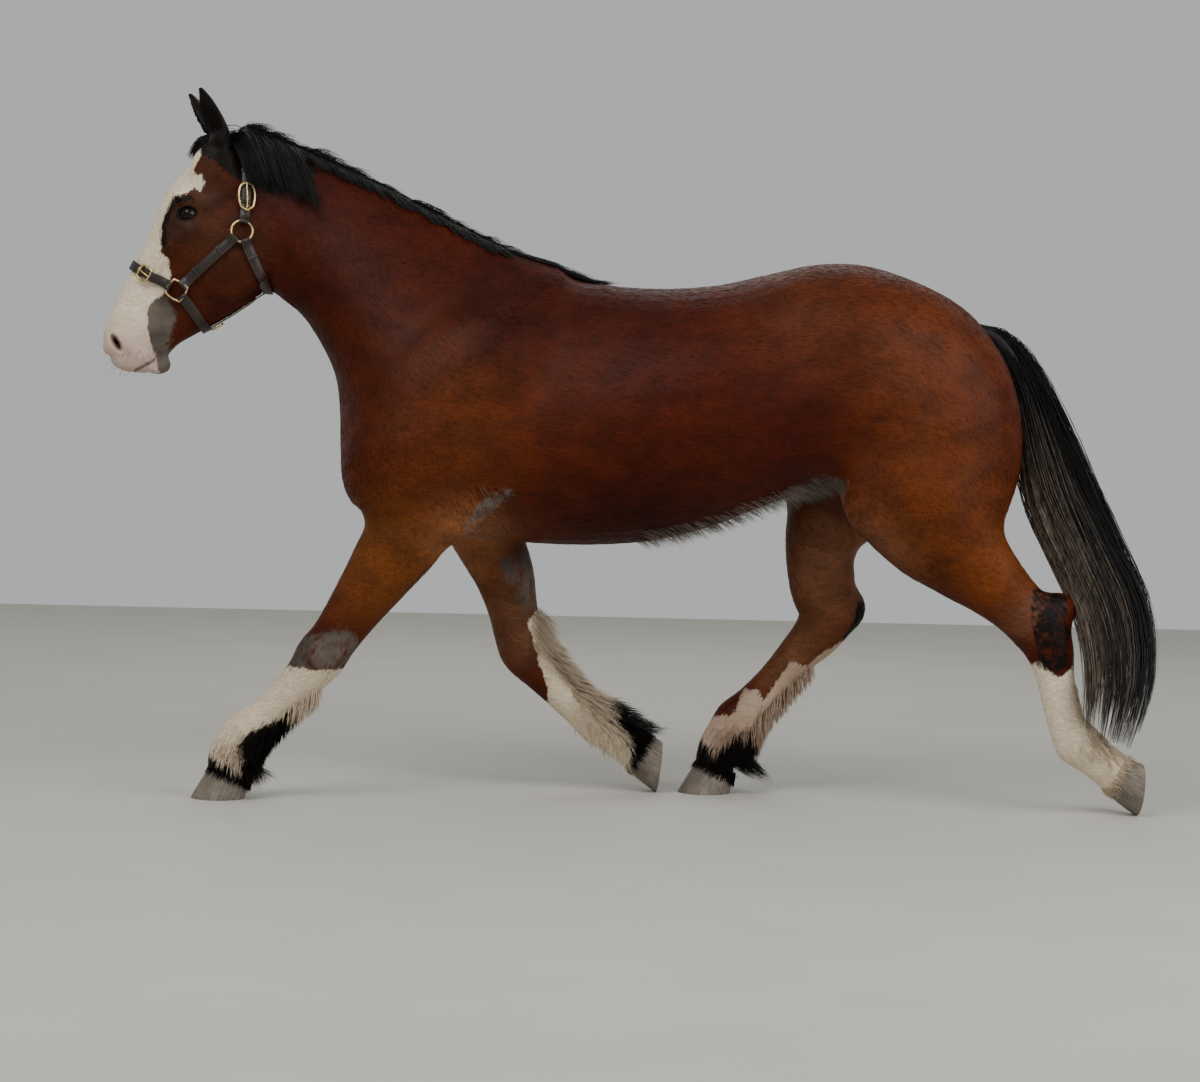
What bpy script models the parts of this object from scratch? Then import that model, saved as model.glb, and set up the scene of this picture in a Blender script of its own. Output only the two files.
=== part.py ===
"""A life-size still model of a bay cob at the trot, in its leather headcollar.

Metres, +Z up. The horse faces -X, its left side is -Y, and it rests on its four hooves at z = 0.
The flesh is a set of lofted and rounded forms, each a closed mesh from a few named sizes. Their
level sets are blended by a smooth union, meshed, thinned, and parted with thin plane cuts.
"""

import math
import random

import bmesh
import bpy
import numpy as np
import openvdb as vdb
from mathutils import Matrix, Vector
from mathutils.bvhtree import BVHTree

SEED = 11
GAP = 0.0003  # between nodes that touch
RING_SIDES = 28
LEFT, RIGHT = -1, 1

# Driving sizes of the animal in this stride
WITHERS_HEIGHT = 1.32
HOOF_LENGTH, HOOF_WIDTH = 0.138, 0.132  # at the floor
CORONET_LENGTH, CORONET_WIDTH = 0.107, 0.104
CORONET_SET_BACK, CORONET_LEVEL, CORONET_TILT = 0.097, 0.057, 23.2  # its middle from the toe, degrees
HOOF_RINGS = ((0, 0.94), (0.06, 1.0), (0.5, 1.0), (1.0, 1.0), (1.0, 0.86), (1.07, 0.76))  # down, and size
TOE_FLAT = 0.004  # cut off a raised hoof where it rests on its toe
EYE_RADIUS = 0.0215
EYE_HALF_LENGTH, LID_RISE = 0.0172, (0.0125, 0.0095)
EAR_RINGS = (  # share of the length, half width, half depth, how far hollowed, set back
    (-0.12, 0.020, 0.020, 0, 0.000),
    (0.02, 0.027, 0.027, 0, 0.000),
    (0.14, 0.032, 0.028, 0.25, 0.000),
    (0.30, 0.035, 0.026, 0.85, 0.000),
    (0.50, 0.034, 0.021, 0.95, 0.002),
    (0.70, 0.027, 0.016, 0.90, 0.003),
    (0.86, 0.016, 0.011, 0.70, 0.002),
    (0.95, 0.008, 0.007, 0.30, 0.000),
)
STRAP_WIDTH, STRAP_THICKNESS, STRAP_LIFT = 0.024, 0.004, 0.0032
STRAP_END = 0.019  # from the middle of a ring to the end of a strap
RING_WIRE, RING_LIFT = 0.0032, 0.0125

# Levels and planes where the body is parted
FORELEG_LEVEL = 0.628
HINDLEG_LEVEL = 0.700
POLL_CUT = ((-0.895, 0, 1.42), (-0.995, 0, -0.085))  # a point, and the way to the head
SHOULDER_CUT = ((-0.505, 0, 1.13), (-0.790, 0, 0.613))  # a point, and the way to the neck

MATERIALS = {
    "coat": ((0.100, 0.020, 0.008), 0.42, 0.0),
    "points": ((0.008, 0.006, 0.006), 0.55, 0.0),
    "white_leg": ((0.480, 0.400, 0.310), 0.70, 0.0),
    "horn": ((0.130, 0.110, 0.095), 0.50, 0.0),
    "eye": ((0.010, 0.006, 0.004), 0.08, 0.0),
    "leather": ((0.020, 0.010, 0.007), 0.45, 0.0),
    "brass": ((0.560, 0.430, 0.200), 0.30, 1.0),
}

# The trunk, nose to tail: x, top, bottom, half width, egg (below 0 is narrower at the top)
TRUNK = (
    (-0.688, 0.960, 0.850, 0.050, 0.00),
    (-0.668, 1.030, 0.775, 0.130, -0.05),
    (-0.610, 1.110, 0.705, 0.190, -0.10),
    (-0.500, 1.205, 0.660, 0.228, -0.16),
    (-0.380, 1.272, 0.641, 0.246, -0.20),
    (-0.250, 1.312, 0.634, 0.262, -0.22),
    (-0.100, 1.288, 0.632, 0.284, -0.14),
    (0.050, 1.279, 0.645, 0.304, -0.06),
    (0.200, 1.290, 0.682, 0.310, -0.02),
    (0.330, 1.320, 0.735, 0.300, -0.04),
    (0.450, 1.348, 0.778, 0.288, -0.08),
    (0.570, 1.350, 0.790, 0.280, -0.10),
    (0.700, 1.314, 0.770, 0.258, -0.10),
    (0.820, 1.258, 0.760, 0.220, -0.08),
    (0.900, 1.180, 0.780, 0.170, -0.06),
    (0.940, 1.090, 0.820, 0.110, 0.00),
    (0.955, 1.010, 0.880, 0.050, 0.00),
)

# The neck: crest x and z, underside x and z, half width, egg
NECK = (
    (-0.985, 1.650, -0.940, 1.290, 0.060, -0.10),
    (-0.930, 1.636, -0.885, 1.236, 0.082, -0.16),
    (-0.840, 1.604, -0.822, 1.186, 0.098, -0.22),
    (-0.720, 1.556, -0.776, 1.122, 0.116, -0.30),
    (-0.600, 1.502, -0.740, 1.050, 0.140, -0.34),
    (-0.480, 1.443, -0.719, 0.965, 0.166, -0.36),
    (-0.370, 1.390, -0.706, 0.875, 0.190, -0.36),
    (-0.270, 1.345, -0.655, 0.785, 0.205, -0.32),
    (-0.190, 1.310, -0.500, 0.740, 0.200, -0.30),
)

# The head, poll to lips: face x and z, jaw x and z, half width, egg
HEAD = (
    (-1.055, 1.632, -0.975, 1.605, 0.030, 0.00),
    (-1.080, 1.600, -0.945, 1.530, 0.070, -0.02),
    (-1.105, 1.552, -0.915, 1.440, 0.090, -0.02),
    (-1.142, 1.510, -0.900, 1.360, 0.101, 0.02),
    (-1.172, 1.464, -0.902, 1.292, 0.102, 0.06),
    (-1.190, 1.415, -0.930, 1.232, 0.092, 0.04),
    (-1.208, 1.362, -0.978, 1.193, 0.078, -0.04),
    (-1.232, 1.312, -1.030, 1.160, 0.066, -0.10),
    (-1.257, 1.262, -1.080, 1.132, 0.058, -0.10),
    (-1.281, 1.208, -1.122, 1.106, 0.056, -0.06),
    (-1.302, 1.158, -1.146, 1.080, 0.061, 0.00),
    (-1.311, 1.122, -1.152, 1.062, 0.064, 0.02),
    (-1.302, 1.088, -1.165, 1.046, 0.058, 0.02),
    (-1.278, 1.058, -1.195, 1.034, 0.042, 0.00),
    (-1.252, 1.044, -1.215, 1.032, 0.018, 0.00),
)

# Each leg from the body down: x, z, half depth, half width, y off the middle
LEFT_FORE = (
    (-0.490, 0.800, 0.120, 0.075, 0.150),
    (-0.545, 0.665, 0.104, 0.078, 0.158),
    (-0.605, 0.568, 0.086, 0.068, 0.160),
    (-0.665, 0.478, 0.070, 0.056, 0.158),
    (-0.715, 0.402, 0.061, 0.052, 0.155),
    (-0.750, 0.352, 0.064, 0.056, 0.154),
    (-0.786, 0.304, 0.054, 0.047, 0.152),
    (-0.836, 0.253, 0.043, 0.037, 0.150),
    (-0.884, 0.207, 0.043, 0.036, 0.148),
    (-0.925, 0.170, 0.052, 0.044, 0.146),
    (-0.956, 0.135, 0.051, 0.046, 0.145),
    (-0.970, 0.100, 0.051, 0.048, 0.144),
    (-0.966, 0.040, 0.053, 0.051, 0.143),
)
RIGHT_FORE = (
    (-0.420, 0.800, 0.115, 0.074, 0.150),
    (-0.345, 0.642, 0.092, 0.074, 0.158),
    (-0.302, 0.550, 0.079, 0.065, 0.158),
    (-0.277, 0.462, 0.066, 0.055, 0.156),
    (-0.262, 0.392, 0.061, 0.053, 0.154),
    (-0.244, 0.346, 0.060, 0.054, 0.153),
    (-0.200, 0.296, 0.049, 0.043, 0.151),
    (-0.147, 0.243, 0.042, 0.036, 0.149),
    (-0.100, 0.203, 0.044, 0.037, 0.147),
    (-0.055, 0.172, 0.054, 0.045, 0.146),
    (-0.010, 0.140, 0.049, 0.046, 0.145),
    (0.062, 0.096, 0.052, 0.050, 0.144),
)
LEFT_HIND = (
    (0.700, 0.950, 0.215, 0.120, 0.120),
    (0.722, 0.805, 0.200, 0.122, 0.140),
    (0.772, 0.705, 0.162, 0.110, 0.148),
    (0.836, 0.627, 0.117, 0.088, 0.150),
    (0.902, 0.566, 0.088, 0.067, 0.150),
    (0.965, 0.510, 0.073, 0.054, 0.150),
    (1.018, 0.460, 0.073, 0.054, 0.150),
    (1.046, 0.408, 0.063, 0.050, 0.150),
    (1.062, 0.345, 0.050, 0.042, 0.150),
    (1.078, 0.272, 0.045, 0.038, 0.150),
    (1.095, 0.220, 0.047, 0.040, 0.150),
    (1.122, 0.178, 0.058, 0.048, 0.150),
    (1.165, 0.143, 0.050, 0.046, 0.150),
    (1.236, 0.092, 0.052, 0.050, 0.150),
)
RIGHT_HIND = (
    (0.670, 0.940, 0.200, 0.115, 0.118),
    (0.590, 0.805, 0.165, 0.115, 0.138),
    (0.527, 0.700, 0.114, 0.100, 0.145),
    (0.508, 0.620, 0.092, 0.078, 0.148),
    (0.515, 0.540, 0.086, 0.064, 0.150),
    (0.530, 0.470, 0.078, 0.056, 0.150),
    (0.506, 0.415, 0.066, 0.052, 0.150),
    (0.455, 0.358, 0.053, 0.045, 0.150),
    (0.400, 0.295, 0.046, 0.039, 0.150),
    (0.345, 0.236, 0.047, 0.040, 0.150),
    (0.305, 0.190, 0.058, 0.048, 0.150),
    (0.272, 0.148, 0.050, 0.045, 0.150),
    (0.254, 0.108, 0.050, 0.048, 0.150),
    (0.248, 0.040, 0.053, 0.051, 0.150),
)

# Legs: rows, side, row of the knee or hock, toe x, hoof pitch in degrees, box along x, feather
LEGS = {
    "foreleg_left": (LEFT_FORE, LEFT, 6, -1.062, 0, (-1.16, -0.36), {"coat": "white", "rows": 6, "length": 0.062, "flare": 0.50}),
    "foreleg_right": (RIGHT_FORE, RIGHT, 6, 0.100, 84, (-0.56, 0.20), {"coat": "white", "rows": 7, "length": 0.082, "flare": 0.85}),
    "hindleg_left": (LEFT_HIND, LEFT, 8, 1.275, 85, (0.44, 1.40), {"coat": "white", "rows": 5, "length": 0.052, "flare": 0.40}),
    "hindleg_right": (RIGHT_HIND, RIGHT, 7, 0.155, 0, (0.06, 0.80), {"coat": "points", "rows": 5, "length": 0.072, "flare": 0.45}),
}

# Rounded masses on both sides: centre, radii, pitch in degrees about Y, blend
MUSCLES = {
    "shoulder_left": ((-0.455, -0.178, 0.990), (0.120, 0.062, 0.235), 40, 0.10),
    "shoulder_right": ((-0.440, 0.178, 0.990), (0.120, 0.062, 0.235), 36, 0.10),
    "upper_arm_left": ((-0.500, -0.170, 0.815), (0.195, 0.078, 0.125), -18, 0.08),
    "upper_arm_right": ((-0.440, 0.170, 0.815), (0.180, 0.078, 0.125), -10, 0.08),
    "breast_left": ((-0.640, -0.085, 0.835), (0.062, 0.085, 0.120), 10, 0.06),
    "breast_right": ((-0.640, 0.085, 0.835), (0.062, 0.085, 0.120), 10, 0.06),
    "elbow_left": ((-0.440, -0.190, 0.700), (0.060, 0.040, 0.055), 0, 0.06),
    "elbow_right": ((-0.310, 0.190, 0.720), (0.060, 0.040, 0.055), 0, 0.06),
    "croup_left": ((0.570, -0.120, 1.170), (0.230, 0.125, 0.125), 8, 0.10),
    "croup_right": ((0.570, 0.120, 1.170), (0.230, 0.125, 0.125), 8, 0.10),
    "buttock_left": ((0.835, -0.120, 0.930), (0.128, 0.105, 0.240), -8, 0.07),
    "buttock_right": ((0.825, 0.120, 0.950), (0.128, 0.105, 0.220), -4, 0.07),
    "stifle_left": ((0.605, -0.200, 0.800), (0.085, 0.060, 0.120), 20, 0.07),
    "stifle_right": ((0.505, 0.195, 0.810), (0.085, 0.060, 0.110), 10, 0.07),
    "hock_point_left": ((1.072, -0.150, 0.512), (0.034, 0.026, 0.036), 20, 0.03),
    "hock_point_right": ((0.590, 0.150, 0.480), (0.034, 0.026, 0.036), -10, 0.03),
}

# Rounded masses of the head, mirrored unless y is 0: centre, radii, pitch, blend
FACE_MASSES = {
    "cheek": ((-0.985, 0.070, 1.325), (0.085, 0.030, 0.105), 20, 0.035),
    "brow": ((-1.112, 0.079, 1.468), (0.040, 0.017, 0.016), 22, 0.028),
    "below_eye": ((-1.112, 0.080, 1.408), (0.034, 0.012, 0.018), 25, 0.028),
    "temple": ((-1.045, 0.066, 1.545), (0.050, 0.026, 0.060), 20, 0.030),
    "nose_wing": ((-1.278, 0.042, 1.110), (0.026, 0.024, 0.040), 25, 0.015),
    "upper_lip": ((-1.248, 0.020, 1.062), (0.040, 0.032, 0.026), 10, 0.015),
    "chin": ((-1.166, 0.000, 1.056), (0.026, 0.034, 0.024), 10, 0.014),
    "lower_lip": ((-1.182, 0.018, 1.046), (0.022, 0.022, 0.014), 20, 0.010),
}
FACIAL_CREST = ((-1.105, 0.088, 1.395), (-1.185, 0.056, 1.265), 0.012)

EYE_CENTRE = (-1.108, 0.0790, 1.437)
NOSTRIL = ((-1.277, 0.0600, 1.104), (0.010, 0.020, 0.019), 32)
MOUTH_LINE = (  # from the middle of the lips to the left corner
    (-1.236, 0.000, 1.030),
    (-1.232, -0.022, 1.034),
    (-1.220, -0.046, 1.042),
    (-1.205, -0.058, 1.050),
    (-1.190, -0.064, 1.058),
    (-1.178, -0.066, 1.068),
)
MOUTH_GROOVE = 0.0042
MANE_LINE = (  # the crest: x and z
    (-0.985, 1.650), (-0.930, 1.636), (-0.840, 1.604), (-0.720, 1.556), (-0.600, 1.502), (-0.480, 1.443),
    (-0.370, 1.390), (-0.270, 1.345), (-0.190, 1.310), (-0.100, 1.286), (0.0, 1.279),
)
MANE_START, MANE_END, MANE_LOCKS = -0.905, -0.330, 34

# Ears: base, tip, and the way the opening faces
EARS = {
    "ear_left": ((-1.022, -0.060, 1.604), (-1.081, -0.080, 1.742), (-0.80, -0.58, 0.15)),
    "ear_right": ((-1.034, 0.060, 1.606), (-1.121, 0.078, 1.742), (-0.90, 0.42, 0.10)),
}

def mirrored(place):
    return (place[0], -place[1], place[2])


# The headcollar: each strap's line over the skin, and each ring's place, half sizes and roundness
CHEEK_RING = (-0.966, -0.110, 1.384)
NOSE_RING = (-1.124, -0.080, 1.237)
CROWN = (CHEEK_RING, (-0.958, -0.105, 1.43), (-0.955, -0.10, 1.48), (-0.955, -0.09, 1.55), (-0.957, -0.05, 1.63))
THROAT = (CHEEK_RING, (-0.950, -0.105, 1.345), (-0.928, -0.09, 1.295), (-0.910, -0.05, 1.250))
CHEEK_STRAP = (CHEEK_RING, (-1.018, -0.105, 1.336), (-1.072, -0.095, 1.285), NOSE_RING)
NOSEBAND = (NOSE_RING, (-1.170, -0.070, 1.262), (-1.213, -0.055, 1.282), (-1.243, -0.025, 1.300))
CHIN_STRAP = (NOSE_RING, (-1.098, -0.075, 1.205), (-1.068, -0.050, 1.165))
STRAPS = {
    "halter_crown": (*CROWN, (-0.958, 0, 1.65), *[mirrored(p) for p in reversed(CROWN)]),
    "halter_throat": (*THROAT, (-0.905, 0, 1.240), *[mirrored(p) for p in reversed(THROAT)]),
    "halter_cheek_left": CHEEK_STRAP,
    "halter_cheek_right": tuple(mirrored(p) for p in CHEEK_STRAP),
    "halter_nose": (*NOSEBAND, (-1.252, 0, 1.306), *[mirrored(p) for p in reversed(NOSEBAND)]),
    "halter_chin": (*CHIN_STRAP, (-1.055, 0, 1.145), *[mirrored(p) for p in reversed(CHIN_STRAP)]),
}
RINGS = {
    "ring_cheek_left": (CHEEK_RING, 0.026, 0.026, 1),
    "ring_cheek_right": (mirrored(CHEEK_RING), 0.026, 0.026, 1),
    "ring_nose_left": (NOSE_RING, 0.024, 0.022, 0.2),
    "ring_nose_right": (mirrored(NOSE_RING), 0.024, 0.022, 0.2),
    "buckle_crown": ((-0.955, -0.100, 1.472), 0.034, 0.021, 0.6),
    "buckle_nose": ((-1.206, -0.058, 1.278), 0.018, 0.020, 0.3),
}

# The tail's middle line: x, y, z, half width seen from the side, half width seen from behind
TAIL = (
    (0.862, 0.000, 1.205, 0.034, 0.036),
    (0.935, 0.000, 1.160, 0.052, 0.044),
    (0.995, -0.004, 1.060, 0.066, 0.050),
    (1.040, -0.014, 0.930, 0.084, 0.056),
    (1.086, -0.036, 0.790, 0.096, 0.060),
    (1.146, -0.080, 0.650, 0.096, 0.062),
    (1.202, -0.142, 0.510, 0.094, 0.062),
    (1.214, -0.200, 0.380, 0.080, 0.058),
    (1.194, -0.240, 0.260, 0.056, 0.050),
    (1.166, -0.262, 0.170, 0.032, 0.038),
)
DOCK_SHARE = 0.42  # of the tail's length, with the core of the hair
TAIL_LOCKS = 46

# Triangles of the flesh, and of the nodes once their hair is joined on
TRIANGLES = {"body": 1500, "head": 1600, "leg": 460}
THINNED = {"tail": 2250, "neck": 1150, "torso": 1800, "lower": 580, "head": 2100}


def spline(rows, steps):
    """A Catmull-Rom curve through the rows, with this many points from each row to the next."""
    rows = np.array(rows, float)
    ends = np.vstack([2 * rows[0] - rows[1], rows, 2 * rows[-1] - rows[-2]])
    points = []
    for i in range(len(rows) - 1):
        a, b, c, d = ends[i : i + 4]
        for t in np.arange(steps) / steps:
            points.append(
                0.5 * (2 * b + (c - a) * t + (2 * a - 5 * b + 4 * c - d) * t**2 + (3 * b - a - 3 * c + d) * t**3)
            )
    return np.array(points + [rows[-1]])


def loft(rings):
    """A closed mesh through rings of points: (points, triangles, quads)."""
    count, sides = len(rings), len(rings[0])
    points = np.vstack([*rings, rings[0].mean(0), rings[-1].mean(0)])
    quads, triangles = [], []
    for i in range(count - 1):
        for j in range(sides):
            k = (j + 1) % sides
            quads.append((i * sides + j, i * sides + k, (i + 1) * sides + k, (i + 1) * sides + j))
    last = (count - 1) * sides
    for j in range(sides):
        k = (j + 1) % sides
        triangles.append((count * sides, k, j))
        triangles.append((count * sides + 1, last + j, last + k))
    return points, triangles, quads


def egg_ring(centre, depth_way, depth, width, egg, sides=RING_SIDES):
    """A ring in the plane of depth_way and Y, narrower on the depth side when egg is below 0."""
    turn = np.arange(sides) * 2 * math.pi / sides
    along = np.cos(turn)[:, None] * np.array(depth_way) * depth
    across = (np.sin(turn) * width * (1 + egg * np.cos(turn)))[:, None] * np.array((0, 1, 0))
    return np.array(centre) + along + across


def rail_form(rows, steps=4):
    """A loft between an upper and a lower rail in the plane of symmetry."""
    rings = []
    for x1, z1, x2, z2, width, egg in spline(rows, steps):
        half = np.array((x1 - x2, 0, z1 - z2)) / 2
        depth = np.linalg.norm(half)
        rings.append(egg_ring(((x1 + x2) / 2, 0, (z1 + z2) / 2), half / depth, depth, width, egg))
    return loft(rings)


def trunk_form():
    return rail_form([(x, top, x, bottom, width, egg) for x, top, bottom, width, egg in TRUNK])


def leg_path(rows, side, steps=4):
    """The leg's middle line with its sizes: (centre, way down, way forward, half depth, half width)."""
    fine = spline(rows, steps)
    ways = np.gradient(fine[:, :2], axis=0)
    stations = []
    for (x, z, depth, width, y), way in zip(fine, ways):
        down = Vector((way[0], 0, way[1])).normalized()
        forward = Vector((down.z, 0, -down.x))
        stations.append((Vector((x, side * y, z)), down, forward, depth, width))
    return stations


def leg_form(rows, side):
    rings = [egg_ring(c, forward, depth, width, -0.06) for c, _, forward, depth, width in leg_path(rows, side)]
    return loft(rings)


def rounded(centre, radii, pitch, rings=10, sides=16):
    """An ellipsoid, pitched about Y."""
    turned = Matrix.Rotation(math.radians(pitch), 3, "Y")
    made = []
    for i in range(1, rings):
        polar = math.pi * i / rings
        turn = np.arange(sides) * 2 * math.pi / sides
        flat = np.stack([np.cos(turn), np.sin(turn), np.zeros(sides)], 1) * math.sin(polar)
        flat[:, 2] = math.cos(polar)
        made.append(flat * np.array(radii) @ np.array(turned).T + np.array(centre))
    return loft(made)


def rod_form(start, end, radius, sides=12):
    """A rod with rounded ends."""
    start, end = Vector(start), Vector(end)
    way = (end - start).normalized()
    side = way.orthogonal().normalized()
    up = way.cross(side)
    turn = [2 * math.pi * j / sides for j in range(sides)]
    rings = []
    for base, share, out in ((start, 0.2, -1), (start, 0.8, -0.6), (start, 1, 0), (end, 1, 0), (end, 0.8, 0.6), (end, 0.2, 1)):
        centre = base + way * radius * out
        rings.append(np.array([centre + (side * math.cos(a) + up * math.sin(a)) * radius * share for a in turn]))
    return loft(rings)


def body_forms():
    """Every form of the flesh, each with the size of the fillet that joins it to the rest."""
    forms = [(trunk_form(), 0.05), (rail_form(NECK), 0.07), (rail_form(HEAD), 0.05)]
    for centre, radii, pitch, blend in MUSCLES.values():
        forms.append((rounded(centre, radii, pitch), blend))
    for rows, side, *_ in LEGS.values():
        forms.append((leg_form(rows, side), 0.05))
    for centre, radii, pitch, blend in FACE_MASSES.values():
        for place in {centre, mirrored(centre)}:
            forms.append((rounded(place, radii, pitch), blend))
    start, end, radius = FACIAL_CREST
    forms.append((rod_form(start, end, radius), 0.02))
    forms.append((rod_form(mirrored(start), mirrored(end), radius), 0.02))
    return forms


def blended(forms, voxel, low, high):
    """The smooth union of the forms inside a box, as a mesh: (points, quads)."""
    first = np.floor(np.array(low) / voxel).astype(int)
    size = np.ceil(np.array(high) / voxel).astype(int) - first
    band = max(blend for _, blend in forms) / voxel + 2
    field = np.full(size, band * voxel, np.float32)
    for (points, triangles, quads), blend in forms:
        if (points.min(0) > np.array(high) + blend).any() or (points.max(0) < np.array(low) - blend).any():
            continue
        level = vdb.FloatGrid.createLevelSetFromPolygons(
            points.astype(np.float32),
            triangles=np.array(triangles, np.uint32),
            quads=np.array(quads, np.uint32),
            transform=vdb.createLinearTransform(voxelSize=voxel),
            halfWidth=band,
        )
        form = np.empty(size, np.float32)
        level.copyToArray(form, ijk=tuple(int(i) for i in first))
        near = np.where((field < blend) & (form < blend), np.clip(blend - np.abs(field - form), 0, blend), 0)
        field = np.minimum(field, form) - near * near / (4 * blend)
    for axis in range(3):
        edge = [slice(None)] * 3
        for end in (0, -1):
            edge[axis] = end
            field[tuple(edge)] = voxel
    grid = vdb.FloatGrid(band * voxel)
    grid.transform = vdb.createLinearTransform(voxelSize=voxel)
    grid.copyFromArray(field, ijk=tuple(int(i) for i in first))
    return grid.convertToQuads(0)


def new_object(name, points, faces):
    mesh = bpy.data.meshes.new(name)
    mesh.from_pydata([tuple(map(float, p)) for p in points], [], [tuple(map(int, f)) for f in faces])
    obj = bpy.data.objects.new(name, mesh)
    bpy.context.scene.collection.objects.link(obj)
    work = bmesh.new()
    work.from_mesh(mesh)
    bmesh.ops.recalc_face_normals(work, faces=work.faces)
    bmesh.ops.triangulate(work, faces=work.faces, quad_method="FIXED")
    work.to_mesh(mesh)
    work.free()
    return obj


def lofted_object(name, form):
    points, triangles, quads = form
    return new_object(name, points, [*triangles, *quads])


def apply_modifiers(obj):
    """Replaces the mesh by the evaluated one, and drops the modifiers."""
    graph = bpy.context.evaluated_depsgraph_get()
    made = bpy.data.meshes.new_from_object(obj.evaluated_get(graph))
    obj.modifiers.clear()
    obj.data = made


def thinned(obj, triangles):
    """Thins the mesh to about this many triangles, keeping the most where it curves most."""
    count = sum(len(p.vertices) - 2 for p in obj.data.polygons)
    decimate = obj.modifiers.new("thin", "DECIMATE")
    decimate.ratio = min(1.0, triangles / count)
    decimate.use_collapse_triangulate = True
    apply_modifiers(obj)


def largest_only(obj):
    """Keeps the closed surface that is largest, and drops sealed hollows and loose scraps."""
    work = bmesh.new()
    work.from_mesh(obj.data)
    bmesh.ops.triangulate(work, faces=work.faces)
    left, shells = set(work.faces), []
    while left:
        shell, rim = set(), [left.pop()]
        while rim:
            face = rim.pop()
            shell.add(face)
            for edge in face.edges:
                for other in edge.link_faces:
                    if other in left:
                        left.remove(other)
                        rim.append(other)
        shells.append(shell)
    kept = max(shells, key=lambda shell: sum(f.calc_area() for f in shell))
    bmesh.ops.delete(work, geom=[f for f in work.faces if f not in kept], context="FACES")
    work.to_mesh(obj.data)
    work.free()


def join(obj, others, operation="UNION"):
    """One Boolean of the object with the others, applied, after which the others are removed."""
    tools = bpy.data.collections.new("tools")
    bpy.context.scene.collection.children.link(tools)
    for other in others:
        tools.objects.link(other)
    boolean = obj.modifiers.new("join", "BOOLEAN")
    boolean.operation = operation
    boolean.operand_type = "COLLECTION"
    boolean.collection = tools
    boolean.solver = "MANIFOLD"
    apply_modifiers(obj)
    for other in others:
        bpy.data.objects.remove(other)
    bpy.data.collections.remove(tools)
    largest_only(obj)


def swollen(obj, gap=GAP):
    """A copy of the object that stands out from it by the gap on every side."""
    work = bmesh.new()
    work.from_mesh(obj.data)
    work.normal_update()
    moves = []
    for vertex in work.verts:
        fit = min((vertex.normal.dot(face.normal) for face in vertex.link_faces), default=1)
        moves.append((vertex, vertex.normal * gap / max(fit, 0.35)))
    for vertex, move in moves:
        vertex.co += move
    mesh = bpy.data.meshes.new("swollen")
    work.to_mesh(mesh)
    work.free()
    copy = bpy.data.objects.new("swollen", mesh)
    bpy.context.scene.collection.objects.link(copy)
    return copy


def make_room(obj, others):
    """Cuts room for the others out of the object, with the gap all round them."""
    join(obj, [swollen(other) for other in others], "DIFFERENCE")


def cut_away(obj, point, way, gap=GAP / 2):
    """Removes what lies beyond the plane through point, in the direction of way, less the gap."""
    way = Vector(way).normalized()
    work = bmesh.new()
    work.from_mesh(obj.data)
    bmesh.ops.bisect_plane(
        work,
        geom=[*work.verts, *work.edges, *work.faces],
        plane_co=Vector(point) - way * gap,
        plane_no=way,
        clear_outer=True,
    )
    bmesh.ops.holes_fill(work, edges=[e for e in work.edges if e.is_boundary])
    bmesh.ops.triangulate(work, faces=work.faces)
    bmesh.ops.recalc_face_normals(work, faces=work.faces)
    work.to_mesh(obj.data)
    work.free()
    largest_only(obj)


def surface_of(*objs):
    points, faces = [], []
    for obj in objs:
        start = len(points)
        points += [v.co.copy() for v in obj.data.vertices]
        faces += [[start + i for i in p.vertices] for p in obj.data.polygons]
    return BVHTree.FromPolygons(points, faces)


def on_surface(surface, point, lift):
    """The nearest place on the surface, lifted off it, and the way out there."""
    place, normal, _, _ = surface.find_nearest(Vector(point))
    return place + normal * lift, normal


def lock(path, outward, width, thickness):
    """A flat lock of hair along the path: four sides, widest near its root, and one tip."""
    last = len(path) - 1
    points, faces = [], []
    for i in range(last):
        way = (path[i + 1] - path[max(i - 1, 0)]).normalized()
        side = way.cross(outward).normalized()
        up = side.cross(way).normalized()
        share = i / last
        wide = width * (0.70 + 0.9 * share) if share < 0.34 else width * (1 - ((share - 0.34) / 0.66) ** 1.7)
        deep = thickness * (1 - 0.7 * share)
        points += [path[i] + side * wide, path[i] + up * deep, path[i] - side * wide, path[i] - up * deep]
    points.append(path[-1])
    for i in range(last - 1):
        for j in range(4):
            k = (j + 1) % 4
            faces.append((4 * i + j, 4 * i + k, 4 * i + 4 + k, 4 * i + 4 + j))
    tip = 4 * last
    for j in range(4):
        faces.append((tip - 4 + j, tip - 4 + (j + 1) % 4, tip))
    faces.append((3, 2, 1, 0))
    return new_object("lock", points, faces)


def flesh(name, forms, voxel, low, high, triangles):
    """The blended flesh inside a box, thinned."""
    points, quads = blended(forms, voxel, low, high)
    obj = new_object(name, points, quads)
    thinned(obj, triangles)
    largest_only(obj)
    return obj


def copied(obj, name):
    copy = obj.copy()
    copy.data = obj.data.copy()
    copy.name = name
    bpy.context.scene.collection.objects.link(copy)
    return copy


def box_object(low, high):
    corners = [(x, y, z) for x in (low[0], high[0]) for y in (low[1], high[1]) for z in (low[2], high[2])]
    sides = [(0, 1, 3, 2), (4, 6, 7, 5), (0, 4, 5, 1), (2, 3, 7, 6), (0, 2, 6, 4), (1, 5, 7, 3)]
    return new_object("box", corners, sides)


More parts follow.
